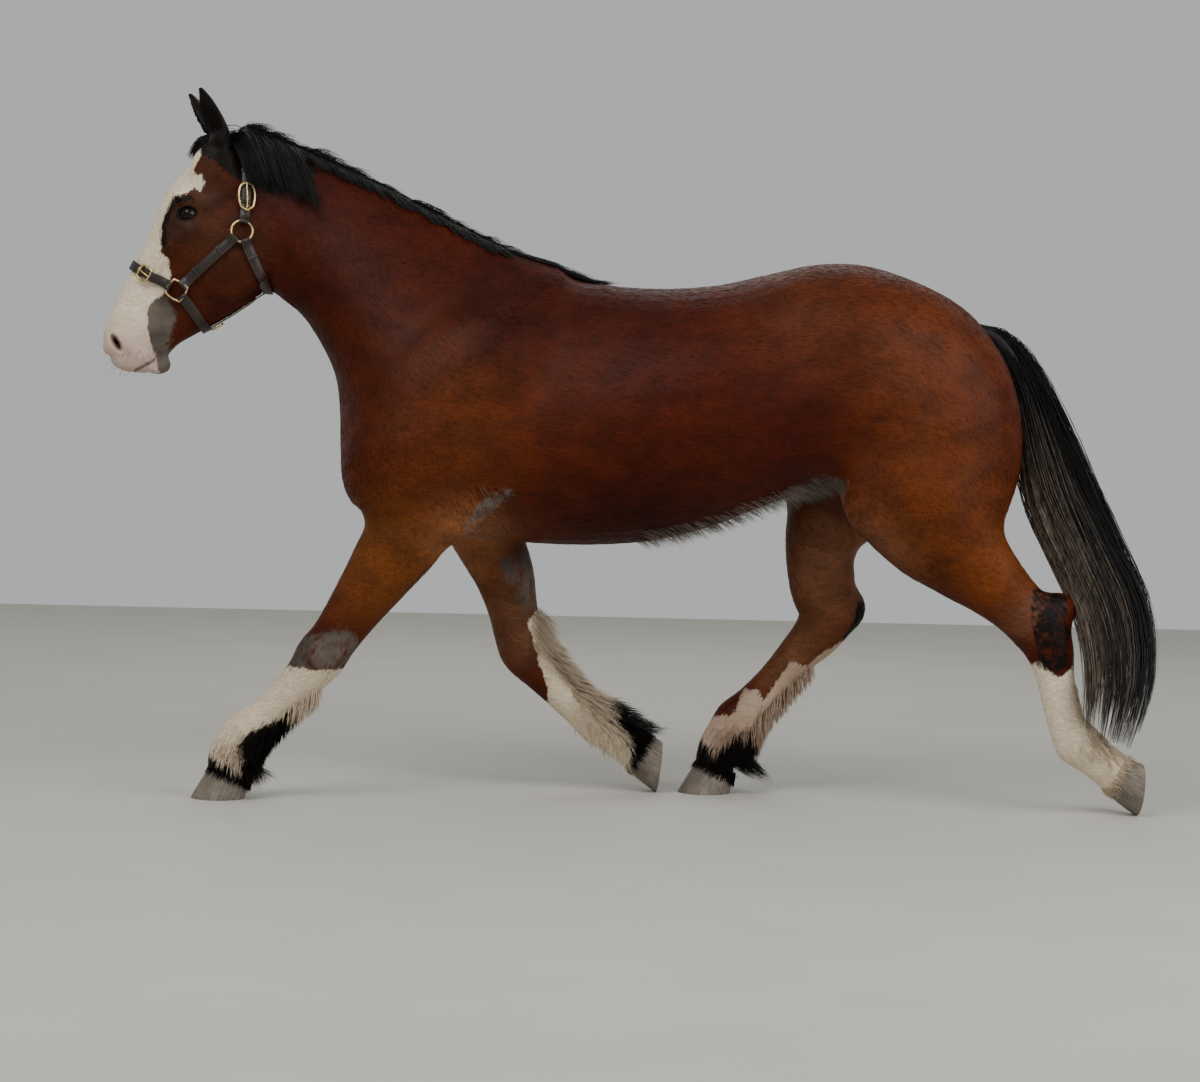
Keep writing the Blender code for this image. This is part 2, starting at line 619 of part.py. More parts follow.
def make_body(forms):
    """The torso and the neck, cut from one mesh by the plane from the withers to the breast."""
    torso = flesh("torso", forms, 0.012, (-1.04, -0.36, 0.58), (1.06, 0.36, 1.72), TRIANGLES["body"])
    neck = copied(torso, "neck")
    point, way = SHOULDER_CUT
    cut_away(torso, point, way)
    cut_away(neck, point, -Vector(way))
    cut_away(neck, *POLL_CUT)
    under_front = box_object((-1.3, -0.5, 0.3), (0.33, 0.5, FORELEG_LEVEL + GAP / 2))
    under_rear = box_object((0.33, -0.5, 0.3), (1.3, 0.5, HINDLEG_LEVEL + GAP / 2))
    join(torso, [under_front, under_rear], "DIFFERENCE")
    return torso, neck


def make_head(forms):
    """The head in front of the poll, with the brow over each eye, nostrils and the line of the lips."""
    low, high = (-1.34, -0.16, 1.00), (-0.84, 0.16, 1.68)
    head = flesh("head", forms, 0.006, low, high, TRIANGLES["head"])
    point, way = POLL_CUT
    cut_away(head, point, -Vector(way))
    centre, radii, pitch = NOSTRIL
    cutters = [lofted_object("nostril", rounded(p, radii, pitch, 6, 10)) for p in (centre, mirrored(centre))]
    skin = surface_of(head)
    half = [Vector((x, y, z)) for x, y, z in MOUTH_LINE]
    path = [*reversed(half), *[Vector(mirrored(p)) for p in half[1:]]]
    path = [on_surface(skin, p, -0.001)[0] for p in path]
    cutters.append(tube_object(path, MOUTH_GROOVE))
    join(head, cutters, "DIFFERENCE")
    return head


def tube_object(path, radius, sides=6):
    """A tube along the path, to a point at both ends."""
    rings = []
    for i in range(1, len(path) - 1):
        way = (path[i + 1] - path[i - 1]).normalized()
        side = way.orthogonal().normalized() if i == 1 else (side - way * side.dot(way)).normalized()
        up = way.cross(side)
        turn = [2 * math.pi * j / sides for j in range(sides)]
        rings.append(np.array([path[i] + (side * math.cos(a) + up * math.sin(a)) * radius for a in turn]))
    points, triangles, quads = loft(rings)
    points[-2:] = path[0], path[-1]
    return new_object("tube", points, [*triangles, *quads])


def make_eye(name, side):
    """The eyeball, with the clear front of the eye standing a little out of it."""
    centre = (EYE_CENTRE[0], side * EYE_CENTRE[1], EYE_CENTRE[2])
    return lofted_object(name, rounded(centre, (EYE_RADIUS,) * 3, 0, 8, 12))


def make_lids(side):
    """The upper and lower lid, each a roll from corner to corner over the eyeball."""
    centre = Vector((EYE_CENTRE[0], side * EYE_CENTRE[1], EYE_CENTRE[2]))
    forward, out, up = Vector((-1, 0, 0)), Vector((-0.36, side * 0.93, 0.10)).normalized(), Vector((0, 0, 1))
    lids = []
    for rise, radius in ((LID_RISE[0], 0.0052), (-LID_RISE[1], 0.0042)):
        path = []
        for i in range(9):
            turn = math.pi * (i / 8)
            way = forward * math.cos(turn) * EYE_HALF_LENGTH + up * math.sin(turn) * rise
            way = way + up * -0.004 * math.cos(turn) + out * (EYE_RADIUS**2 - way.length_squared) ** 0.5
            path.append(centre + way.normalized() * (EYE_RADIUS + 0.001))
        lids.append(tube_object(path, radius))
    return lids


def make_ear(name):
    """A cupped ear: rings of a thick crescent from a full base to the tip, turned to its opening."""
    base, tip, faces = (Vector(p) for p in EARS[name])
    axis = (tip - base).normalized()
    front = (faces - axis * faces.dot(axis)).normalized()
    side = axis.cross(front)
    length = (tip - base).length
    rings = []
    for share, wide, deep, hollow, lean in EAR_RINGS:
        ring = []
        centre = base + axis * length * share - front * lean
        for j in range(7):
            turn = math.radians(-114 + 38 * j)
            ring.append(centre + side * math.sin(turn) * wide - front * math.cos(turn) * deep)
        for j in range(5):
            turn = math.radians(96 - 48 * j)
            cup = side * math.sin(turn) * (wide - 0.004 * hollow)
            inner = cup - front * math.cos(turn) * (deep - 0.005)
            outer = cup + front * (math.cos(turn) * deep * 0.8 + deep * 0.37)
            ring.append(centre + outer.lerp(inner, hollow))
        rings.append(np.array(ring))
    points, triangles, quads = loft(rings)
    points[-1] = tip
    return new_object(name, points, [*triangles, *quads])


def hoof_frame(rows, side, toe_x, pitch):
    """The turn and the place of a hoof whose toe touches the floor at toe_x."""
    sink = TOE_FLAT if pitch else 0.0
    return Matrix.Translation((toe_x, side * rows[-1][4], -sink)) @ Matrix.Rotation(-math.radians(pitch), 4, "Y")


def coronet_plane(frame):
    """The plane between leg and hoof: a point, and the way down through the hoof."""
    tilt = math.radians(CORONET_TILT)
    down = Vector((-math.sin(tilt), 0, -math.cos(tilt)))
    return frame @ Vector((CORONET_SET_BACK, 0, CORONET_LEVEL)), frame.to_3x3() @ down


def make_hoof(name, frame, pitch):
    """A hoof from the coronet to the sole with its frog, cut flat where a raised one meets the floor."""
    rings = []
    for share, grow in HOOF_RINGS:
        tilt = math.radians(CORONET_TILT * (1 - min(share, 1)))
        part = min(share, 1)
        middle = Vector((CORONET_SET_BACK, 0, CORONET_LEVEL)).lerp(Vector((HOOF_LENGTH / 2, 0, 0)), part)
        length = CORONET_LENGTH / 2 + (HOOF_LENGTH - CORONET_LENGTH) / 2 * part
        width = CORONET_WIDTH / 2 + (HOOF_WIDTH - CORONET_WIDTH) / 2 * part
        lift = (share - 1) * 0.1 if share > 1 else 0
        ring = egg_ring(
            middle + Vector((0, 0, lift)), (-math.cos(tilt), 0, math.sin(tilt)), length * grow, width * grow, 0.0, 16
        )
        rings.append(ring)
    points, triangles, quads = loft(rings)
    hoof = new_object(name, points, [*triangles, *quads])
    frog = [(HOOF_LENGTH * 0.32, 0), (HOOF_LENGTH * 0.92, 0.020), (HOOF_LENGTH * 0.92, -0.020)]
    low = [(x, y, 0.0015) for x, y in frog]
    high = [(x, y * 1.2, 0.016) for x, y in frog]
    faces = [(0, 1, 2), (5, 4, 3), (0, 3, 4, 1), (1, 4, 5, 2), (2, 5, 3, 0)]
    join(hoof, [new_object("frog", low + high, faces)])
    hoof.data.transform(frame)
    if pitch:
        cut_away(hoof, (0, 0, 0), (0, 0, -1), 0)
    return hoof


def feather_locks(name, rows, side, first, plane, plan):
    """Locks down the back of the cannon, and longer ones round the fetlock that hang over the heel."""
    chance = random.Random(f"{SEED}{name}")
    point, down = plane
    stations = leg_path(rows, side)[first * 4 + 2 :]
    stations = [s for s in stations if (s[0] - point).dot(down) < -0.022]
    locks = []
    for i in range(plan["rows"]):
        share = i / (plan["rows"] - 1)
        centre, along, forward, depth, width = stations[round(share * (len(stations) - 1))]
        fetlock = share > 0.60
        spread, across = (135, 6) if fetlock else (50, 3)
        length = plan["length"] * (0.75 + 0.5 * share)
        for j in range(across):
            turn = math.radians(spread * ((j + 0.5 + 0.5 * (i % 2)) / across * 2 - 1.2) + chance.uniform(-8, 8))
            out = (-forward * math.cos(turn) + Vector((0, math.sin(turn), 0))).normalized()
            root = centre - forward * math.cos(turn) * depth * 0.78 + Vector((0, math.sin(turn) * width * 0.78, 0))
            reach = length * (0.66 + 0.34 * math.cos(turn)) * chance.uniform(0.85, 1.12)
            lie = (along * (1.2 - plan["flare"]) + out * plan["flare"] + Vector((0, 0, -0.30))).normalized()
            rise = out * min(depth, width) * 0.30
            path = [root, root + rise + lie * reach * 0.33, root + rise * 1.2 + lie * reach * 0.70]
            path.append(root + rise + (lie + Vector((0, 0, -0.25)) + along * 0.15) * reach)
            locks.append(lock(path, out, 0.0175, 0.0065))
    return locks


def make_leg(name, forms):
    """One leg in two lengths and its hoof."""
    rows, side, joint, toe_x, pitch, box, plan = LEGS[name]
    level = FORELEG_LEVEL if name.startswith("fore") else HINDLEG_LEVEL
    low_y, high_y = sorted((side * 0.002, side * 0.34))
    leg = flesh(name + "_upper", forms, 0.007, (box[0], low_y, 0), (box[1], high_y, level + 0.04), TRIANGLES["leg"])
    cut_away(leg, (0, 0, level), (0, 0, 1))
    frame = hoof_frame(rows, side, toe_x, pitch)
    plane = coronet_plane(frame)
    cut_away(leg, *plane, GAP)
    lower = copied(leg, name + "_lower")
    knee, down, *_ = leg_path(rows, side)[joint * 4]
    cut_away(leg, knee, down)
    cut_away(lower, knee, -down)
    hoof = make_hoof(name.replace("leg", "hoof"), frame, pitch)
    join(lower, feather_locks(name, rows, side, joint, plane, plan))
    thinned(lower, THINNED["lower"])
    cut_away(lower, knee, -down)
    make_room(lower, [hoof])
    cut_away(lower, (0, 0, 0), (0, 0, -1), 0.002)
    return leg, lower, hoof


def make_tail():
    """The dock, and locks that start all down it and fall along the line of the tail."""
    chance = random.Random(SEED + 1)
    line = spline(TAIL, 6)
    points = [Vector(p[:3]) for p in line]
    share_at = [i / (len(points) - 1) for i in range(len(points))]
    rings = []
    core = round((len(points) - 1) * DOCK_SHARE)
    for i in range(0, core + 1, 3):
        way = (points[i + 1] - points[max(i - 1, 0)]).normalized()
        depth_way = Vector((way.z, 0, -way.x)).normalized()
        slim = 0.72 * (1 - 0.5 * i / core)
        rings.append(egg_ring(points[i], depth_way, line[i][3] * slim, line[i][4] * slim, 0.0, 10))
    tail = lofted_object("tail", loft(rings))
    locks = []
    for n in range(TAIL_LOCKS):
        start = DOCK_SHARE * 0.96 * (n / TAIL_LOCKS) ** 0.9
        end = min(1.0, start + chance.uniform(0.52, 0.66) + 0.10 * n / TAIL_LOCKS)
        turn = 2.4 * n
        path = []
        for k in range(5):
            share = start + (end - start) * k / 4
            place = share * (len(points) - 1)
            i = min(int(place), len(points) - 2)
            centre = points[i].lerp(points[i + 1], place - i)
            way = (points[i + 1] - points[i]).normalized()
            depth_way = Vector((way.z, 0, -way.x)).normalized()
            swell = (0.45, 0.86, 0.98, 0.92, 0.80)[k] * (1 + 0.10 * math.sin(n * 1.7))
            half_depth = line[i][3] * swell
            half_width = line[i][4] * swell
            out = depth_way * math.cos(turn) * half_depth + Vector((0, 1, 0)) * math.sin(turn) * half_width
            path.append(centre + out)
            if k == 2:
                outward = out.normalized()
        locks.append(lock(path, outward, 0.024, 0.009))
    join(tail, locks)
    thinned(tail, THINNED["tail"])
    return tail


def crest_point(x):
    """The top of the neck and withers at x."""
    xs = [row[0] for row in MANE_LINE]
    return float(np.interp(x, xs, [row[1] for row in MANE_LINE]))


def make_mane_locks():
    """Locks along the crest, in turn lying back along the top and falling to the right side."""
    chance = random.Random(SEED + 2)
    locks = []
    for n in range(MANE_LOCKS):
        x = MANE_START + (MANE_END - MANE_START) * n / (MANE_LOCKS - 1)
        falls = n % 2 == 1
        root = Vector((x, chance.uniform(0.004, 0.016) if falls else chance.uniform(-0.012, 0.004), 0))
        root.z = crest_point(x) - 0.014
        slope = (crest_point(x + 0.05) - crest_point(x)) / 0.05
        back = Vector((1, 0, slope)).normalized()
        if falls:
            way, fall, face = Vector((0, 0.65, 0.50)) + back * 0.40, Vector((0, 0.25, -1.05)), Vector((0, 0.8, 0.6))
            length = chance.uniform(0.095, 0.125)
        else:
            lift = chance.uniform(0.72, 0.95) - 0.28 * n / MANE_LOCKS
            way, fall, face = Vector((0, -0.08, lift)) + back * 0.80, Vector((0, 0.12, -0.32)), Vector((0, -0.25, 1))
            length = chance.uniform(0.100, 0.125)
        path = [root + (way * s + fall * s * s) * length for s in (0, 0.34, 0.68, 1.0)]
        locks.append(lock(path, face, 0.022, 0.0085))
    return locks


def make_withers_tuft():
    """Longer locks that blow back from the end of the mane over the withers."""
    chance = random.Random(SEED + 3)
    locks = []
    for n in range(9):
        x = -0.330 + 0.018 * n
        root = Vector((x, chance.uniform(-0.020, 0.030), crest_point(x) - 0.014))
        length = chance.uniform(0.15, 0.19) * (1 - 0.03 * n)
        side = chance.uniform(-0.18, 0.30)
        path = []
        for s in (0, 0.3, 0.65, 1.0):
            path.append(root + Vector((s, side * s, 0.36 * s - 0.42 * s * s)) * length)
        locks.append(lock(path, Vector((0, 0, 1)), 0.018, 0.0065))
    return locks


def make_poll_locks():
    """Short thick locks behind the ears, lying back over the poll."""
    chance = random.Random(SEED + 5)
    locks = []
    for n in range(10):
        root = Vector((-1.034 + 0.014 * (n // 2), (n % 5 - 2) * 0.016, 1.634 + 0.002 * (n // 2)))
        length = chance.uniform(0.060, 0.080)
        side = chance.uniform(-0.20, 0.25)
        path = [root + Vector((0.75 * s, side * s, 0.62 * s - 0.50 * s * s)) * length for s in (0, 0.35, 0.7, 1.0)]
        locks.append(lock(path, Vector((-0.2, 0, 1)), 0.018, 0.008))
    return locks


def make_forelock():
    chance = random.Random(SEED + 4)
    locks = []
    for n in range(7):
        root = Vector((-1.052, -0.018 + 0.006 * n, 1.622))
        length = chance.uniform(0.085, 0.11)
        path = []
        for s in (0, 0.35, 0.7, 1.0):
            path.append(root + Vector((-0.55 * s, (n - 3) * 0.06 * s, 0.20 * s - 0.72 * s * s)) * length)
        locks.append(lock(path, Vector((-0.8, 0, 0.6)), 0.013, 0.006))
    return locks


def strap(name, skin, guide, steps=4):
    """A flat strap laid on the skin along the guide points, short of the rings at its ends."""
    path = [Vector(p) for p in spline(guide, steps)]
    first, last = path[0].copy(), path[-1].copy()
    lift = STRAP_LIFT + STRAP_THICKNESS / 2
    path, outs = zip(*[on_surface(skin, p, lift) for p in path])
    path, outs = list(path), list(outs)
    for _ in range(4):
        path = [(path[max(i - 1, 0)] + p * 2 + path[min(i + 1, len(path) - 1)]) / 4 for i, p in enumerate(path)]
        outs = [outs[max(i - 1, 0)] + n * 2 + outs[min(i + 1, len(outs) - 1)] for i, n in enumerate(outs)]
        outs = [n.normalized() for n in outs]
        for i, p in enumerate(path):
            place, normal, _, _ = skin.find_nearest(p)
            path[i] = p + normal * max(0, lift - (p - place).dot(normal))
    keep = [i for i, p in enumerate(path) if min((p - first).length, (p - last).length) > STRAP_END]
    path, outs = [path[i] for i in keep], [outs[i] for i in keep]
    points, faces = [], []
    for i, (place, out) in enumerate(zip(path, outs)):
        way = (path[min(i + 1, len(path) - 1)] - path[max(i - 1, 0)]).normalized()
        side = way.cross(out).normalized() * STRAP_WIDTH / 2
        up = side.cross(way).normalized() * STRAP_THICKNESS / 2
        points += [place + side + up, place - side + up, place - side - up, place + side - up]
    for i in range(len(path) - 1):
        for j in range(4):
            k = (j + 1) % 4
            faces.append((4 * i + j, 4 * i + k, 4 * i + 4 + k, 4 * i + 4 + j))
    faces += [(3, 2, 1, 0), tuple(4 * len(path) - 4 + j for j in range(4))]
    return new_object(name, points, faces)


def make_ring(name, skin, place, half_length, half_width, corner, around=14, section=5):
    """A metal ring over the strap ends: round where corner is 1, square where it is 0."""
    centre, normal = on_surface(skin, place, RING_LIFT)
    up = (Vector((0, 0, 1)) - normal * normal.z).normalized()
    along = up.cross(normal)
    points, quads = [], []
    for i in range(around):
        turn = 2 * math.pi * (i + 0.5) / around
        c, s = math.cos(turn), math.sin(turn)
        reach = 1 + (1 - corner) * 0.8 * (1 / max(abs(c), abs(s)) - 1)
        middle = centre + up * half_length * c * reach + along * half_width * s * reach
        out = (middle - centre).normalized()
        for j in range(section):
            a = 2 * math.pi * j / section
            points.append(middle + (out * math.cos(a) + normal * math.sin(a)) * RING_WIRE)
    for i in range(around):
        for j in range(section):
            k, m = (j + 1) % section, (i + 1) % around
            quads.append((i * section + j, i * section + k, m * section + k, m * section + j))
    return new_object(name, points, quads)


def gap_between(one, other):
    """How near the middles of the two objects' boxes come, less half their sizes."""
    boxes = []
    for obj in (one, other):
        points = np.array([v.co for v in obj.data.vertices])
        boxes.append((points.min(0), points.max(0)))
    (low_a, high_a), (low_b, high_b) = boxes
    return float(np.max(np.maximum(low_a - high_b, low_b - high_a)))


def make_headcollar(head):
    """The straps of the headcollar, and the rings and buckles on top of them."""
    skin = surface_of(head)
    straps = [strap(name, skin, guide) for name, guide in STRAPS.items()]
    hardware = [make_ring(name, skin, *plan) for name, plan in RINGS.items()]
    return hardware, straps


def paint(obj, kind):
    colour, roughness, metallic = MATERIALS[kind]
    material = bpy.data.materials.new(f"{kind}_{obj.name}")
    material.use_nodes = True
    shader = material.node_tree.nodes["Principled BSDF"]
    shader.inputs["Base Color"].default_value = (*colour, 1)
    shader.inputs["Roughness"].default_value = roughness
    shader.inputs["Metallic"].default_value = metallic
    obj.data.materials.clear()
    obj.data.materials.append(material)


def main():
    for obj in list(bpy.data.objects):
        bpy.data.objects.remove(obj)
    forms = body_forms()
    torso, neck = make_body(forms)
    head = make_head(forms)
    nodes = {torso: "coat", neck: "coat", head: "coat"}
    for name in LEGS:
        upper, lower, hoof = make_leg(name, forms)
        nodes[upper] = "coat"
        nodes[lower] = "white_leg" if "white" in LEGS[name][6]["coat"] else "points"
        nodes[hoof] = "horn"
    hardware, straps = make_headcollar(head)
    eyes = [make_eye("eye_left", LEFT), make_eye("eye_right", RIGHT)]
    join(head, [lid for side in (LEFT, RIGHT) for lid in make_lids(side)])
    ears = [make_ear(name) for name in EARS]
    tail = make_tail()
    nodes.update({eye: "eye" for eye in eyes})
    nodes.update({ear: "points" for ear in ears})
    nodes[tail] = "points"
    join(neck, make_mane_locks())
    join(torso, make_withers_tuft())
    for obj in (neck, torso):
        thinned(obj, THINNED[obj.name])
    point, way = SHOULDER_CUT
    cut_away(torso, point, way)
    cut_away(neck, point, -Vector(way))
    join(head, make_forelock() + make_poll_locks())
    thinned(head, THINNED["head"])
    cut_away(neck, *POLL_CUT)
    cut_away(head, POLL_CUT[0], -Vector(POLL_CUT[1]))
    for piece in straps:
        near = [h for h in hardware if gap_between(h, piece) < 0.03]
        if near:
            make_room(piece, near)
    behind = [obj for obj in nodes if obj.name.startswith(("hindleg_left", "hindhoof_left"))]
    make_room(tail, [torso, *behind])
    for ear in ears:
        make_room(ear, [head])
    make_room(head, [*eyes, *hardware, *straps])
    nodes.update({piece: "brass" for piece in hardware})
    nodes.update({piece: "leather" for piece in straps})
    for obj, kind in nodes.items():
        paint(obj, kind)


main()
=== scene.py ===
# %% [markdown]
# # A bay cob at the trot
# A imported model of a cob, life size, in metres, is dressed here for the camera. The frame is loaded
# first and never moved: each piece that we make is placed in its space and rides on its one body.

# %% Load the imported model
import math
from contextlib import contextmanager

import bmesh
import bpy
import numpy as np
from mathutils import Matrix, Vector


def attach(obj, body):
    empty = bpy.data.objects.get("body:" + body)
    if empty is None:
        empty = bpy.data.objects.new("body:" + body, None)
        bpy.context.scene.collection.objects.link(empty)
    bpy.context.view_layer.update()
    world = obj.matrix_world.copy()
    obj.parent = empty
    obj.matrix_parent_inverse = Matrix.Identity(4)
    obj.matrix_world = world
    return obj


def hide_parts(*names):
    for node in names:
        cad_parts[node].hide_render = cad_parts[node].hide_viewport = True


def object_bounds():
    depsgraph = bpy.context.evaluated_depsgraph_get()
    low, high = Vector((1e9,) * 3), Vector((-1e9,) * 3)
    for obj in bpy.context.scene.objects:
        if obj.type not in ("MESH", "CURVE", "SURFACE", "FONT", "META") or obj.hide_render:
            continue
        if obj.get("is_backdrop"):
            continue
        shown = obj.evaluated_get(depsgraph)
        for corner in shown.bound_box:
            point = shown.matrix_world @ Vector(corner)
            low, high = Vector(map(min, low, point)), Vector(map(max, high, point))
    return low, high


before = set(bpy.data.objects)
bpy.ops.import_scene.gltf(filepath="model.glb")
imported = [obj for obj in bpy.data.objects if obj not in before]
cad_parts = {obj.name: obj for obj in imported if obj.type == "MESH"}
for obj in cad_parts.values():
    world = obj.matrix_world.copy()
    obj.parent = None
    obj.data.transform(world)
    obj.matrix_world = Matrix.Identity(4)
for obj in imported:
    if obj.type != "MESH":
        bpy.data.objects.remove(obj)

import openvdb as vdb
from mathutils import Matrix, Vector
from mathutils.bvhtree import BVHTree

cad_box = [list(corner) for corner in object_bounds()]
LEFT, RIGHT = -1, 1  # the sign of y on either side of the horse, which faces -X
chance = np.random.default_rng(7)
dense = 1.0  # how much of the hair is made
print("CAD box:", [[round(v, 3) for v in corner] for corner in cad_box])


# %% Small helpers
def table(text, scale=1000):
    """Rows of whole numbers with commas between the rows; millimetres turn into metres."""
    return np.array([[int(v) for v in row.split()] for row in text.split(",")]) / scale


def unit(v):
    return v / np.maximum(np.linalg.norm(v, axis=-1, keepdims=True), 1e-9)


def seen_from_side(x, z):
    """Vectors in the plane of symmetry, from their parts along X and Z."""
    return np.stack([x, 0 * x, z], 1)


def mirrored(place):
    return (place[0], -place[1], place[2])


def side_of(name):
    return LEFT if name.endswith("left") else RIGHT


def pitched(degrees):
    """The matrix of a turn about Y."""
    return np.array(Matrix.Rotation(math.radians(degrees), 3, "Y"))


def linked(name, data):
    """A new object in the scene."""
    obj = bpy.data.objects.new(name, data)
    bpy.context.scene.collection.objects.link(obj)
    return obj


# %% [markdown]
# ## The camera
# The horse is seen from its left, a little from in front, by a long lens at chest height. The
# picture was taken with the camera tilted by about one and a half degrees, so ours is rolled too.

# %% Camera
AIM, STAND_POINT, ROLL = Vector((-0.066, 0, 0.644)), Vector((-0.459, -7.49, 0.94)), math.radians(1.46)
lens = bpy.data.cameras.new("camera")
lens.lens, lens.sensor_width, lens.sensor_fit = 90, 36, "HORIZONTAL"
camera = linked("camera", lens)
aimed = (AIM - STAND_POINT).to_track_quat("-Z", "Y").to_matrix().to_4x4()
camera.matrix_world = Matrix.Translation(STAND_POINT) @ aimed @ Matrix.Rotation(ROLL, 4, "Z")
bpy.context.scene.camera = camera
print("camera is", round((AIM - STAND_POINT).length, 2), "m away")

# %% [markdown]
# ## The flesh
# A horse's flesh is a few large masses under one skin. Each mass is a closed form with named sizes:
# a trunk, a neck and a head lofted between two rails, four lofted legs, and rounded muscles. The
# tables are the CAD source's, in millimetres, so the skin lies where the solids are.

# %% Sizes of the trunk, neck and head. Egg is in thousandths, and below 0 narrower at the top
# x, top, bottom, half width, egg
TRUNK = table("""
    -688 960 850 50 0, -668 1030 775 130 -50, -610 1110 705 190 -100, -500 1205 660 228 -160,
    -380 1272 641 246 -200, -250 1312 634 262 -220, -100 1288 632 284 -140, 50 1279 645 304 -60,
    200 1290 682 310 -20, 330 1320 735 300 -40, 450 1348 778 288 -80, 570 1350 790 280 -100,
    700 1314 770 258 -100, 820 1258 760 220 -80, 900 1180 780 170 -60, 940 1090 820 110 0, 955 1010 880 50 0""")
# crest x and z, underside x and z, half width, egg
NECK = table("""
    -985 1650 -940 1290 60 -100, -930 1636 -885 1236 82 -160, -840 1604 -822 1186 98 -220,
    -720 1556 -776 1122 116 -300, -600 1502 -740 1050 140 -340, -480 1443 -719 965 166 -360,
    -370 1390 -706 875 190 -360, -270 1345 -655 785 205 -320, -190 1310 -500 740 200 -300""")
# face x and z, jaw x and z, half width, egg
HEAD = table("""
    -1055 1632 -975 1605 30 0, -1080 1600 -945 1530 70 -20, -1105 1552 -915 1440 90 -20,
    -1142 1510 -900 1360 101 20, -1172 1464 -902 1292 102 60, -1190 1415 -930 1232 92 40,
    -1208 1362 -978 1193 78 -40, -1232 1312 -1030 1160 66 -100, -1257 1262 -1080 1132 58 -100,
    -1281 1208 -1122 1106 56 -60, -1302 1158 -1146 1080 61 0, -1311 1122 -1152 1062 64 20,
    -1302 1088 -1165 1046 58 20, -1278 1058 -1195 1034 42 0, -1252 1044 -1215 1032 18 0""")

# %% Sizes of the legs, from the body down: x, z, half depth, half width, y off the middle
LEGS = {
    "foreleg_left": table("""
        -490 800 120 75 150, -545 665 104 78 158, -605 568 86 68 160, -665 478 70 56 158, -715 402 61 52 155,
        -750 352 64 56 154, -786 304 54 47 152, -836 253 43 37 150, -884 207 43 36 148, -925 170 52 44 146,
        -956 135 51 46 145, -970 100 51 48 144, -966 40 53 51 143"""),
    "foreleg_right": table("""
        -420 800 115 74 150, -345 642 92 74 158, -302 550 79 65 158, -277 462 66 55 156, -262 392 61 53 154,
        -244 346 60 54 153, -200 296 49 43 151, -147 243 42 36 149, -100 203 44 37 147, -55 172 54 45 146,
        -10 140 49 46 145, 62 96 52 50 144"""),
    "hindleg_left": table("""
        700 950 215 120 120, 722 805 200 122 140, 772 705 162 110 148, 836 627 117 88 150, 902 566 88 67 150,
        965 510 73 54 150, 1018 460 73 54 150, 1046 408 63 50 150, 1062 345 50 42 150, 1078 272 45 38 150,
        1095 220 47 40 150, 1122 178 58 48 150, 1165 143 50 46 150, 1236 92 52 50 150"""),
    "hindleg_right": table("""
        670 940 200 115 118, 590 805 165 115 138, 527 700 114 100 145, 508 620 92 78 148, 515 540 86 64 150,
        530 470 78 56 150, 506 415 66 52 150, 455 358 53 45 150, 400 295 46 39 150, 345 236 47 40 150,
        305 190 58 48 150, 272 148 50 45 150, 254 108 50 48 150, 248 40 53 51 150"""),
}
HOOVES = {  # toe x, pitch in degrees
    "foreleg_left": (-1.062, 0), "foreleg_right": (0.100, 84),
    "hindleg_left": (1.275, 85), "hindleg_right": (0.155, 0),
}

# %% Muscles, and the masses of the face: centre and radii in millimetres, pitch in degrees, blend
MUSCLES = table("""
    -455 -178 990 120 62 235 40 100, -440 178 990 120 62 235 36 100, -500 -170 815 195 78 125 -18 80,
    -440 170 815 180 78 125 -10 80, -640 -85 835 62 85 120 10 60, -640 85 835 62 85 120 10 60,
    -440 -190 700 60 40 55 0 60, -310 190 720 60 40 55 0 60, 570 -120 1170 230 125 125 8 100,
    570 120 1170 230 125 125 8 100, 835 -120 930 128 105 240 -8 70, 825 120 950 128 105 220 -4 70,
    605 -200 800 85 60 120 20 70, 505 195 810 85 60 110 10 70, 1072 -150 512 34 26 36 20 30,
    590 150 480 34 26 36 -10 30""", 1)
FACE_MASSES = {  # on both sides
    "cheek": (-985, 70, 1325, 85, 30, 105, 20, 35), "brow": (-1103, 79, 1457, 40, 17, 16, 22, 28),
    "below_eye": (-1103, 80, 1396, 34, 12, 18, 25, 28), "temple": (-1045, 66, 1545, 50, 26, 60, 20, 30),
    "nose_wing": (-1278, 42, 1110, 26, 24, 40, 25, 15), "upper_lip": (-1248, 20, 1062, 40, 32, 26, 10, 15),
    "chin": (-1166, 0, 1056, 26, 34, 24, 10, 14), "lower_lip": (-1182, 18, 1046, 22, 22, 14, 20, 10),
}
FACIAL_CREST = ((-1.105, 0.088, 1.395), (-1.145, 0.072, 1.33), (-1.185, 0.056, 1.265))
EYE_CENTRE, EYE_RADIUS = (-1.098, 0.0800, 1.424), 0.0220
EYE_FORWARD, EYE_UP = np.array((-0.97, 0, -0.24)), np.array((-0.24, 0, 0.97))  # to its front corner, and up
NOSTRIL = ((-1.271, 0.0600, 1.105), (0.0075, 0.022, 0.023), -30)
MOUTH_LINE = table("-1236 0 1030, -1232 -22 1034, -1220 -46 1042, -1205 -58 1050, -1190 -64 1058, -1178 -66 1068")


def eye_at(side):
    """The middle of an eye, and the way that it looks: outwards and a little ahead."""
    return np.array((EYE_CENTRE[0], side * EYE_CENTRE[1], EYE_CENTRE[2])), np.array((-0.30, side * 0.95, 0.08))


# %% [markdown]
# ### Making the forms
# A form here is only numbers: points, triangles and quads of a closed mesh. Rings of points are
# spread along a smooth curve through each table, and neighbouring rings are joined by quads.

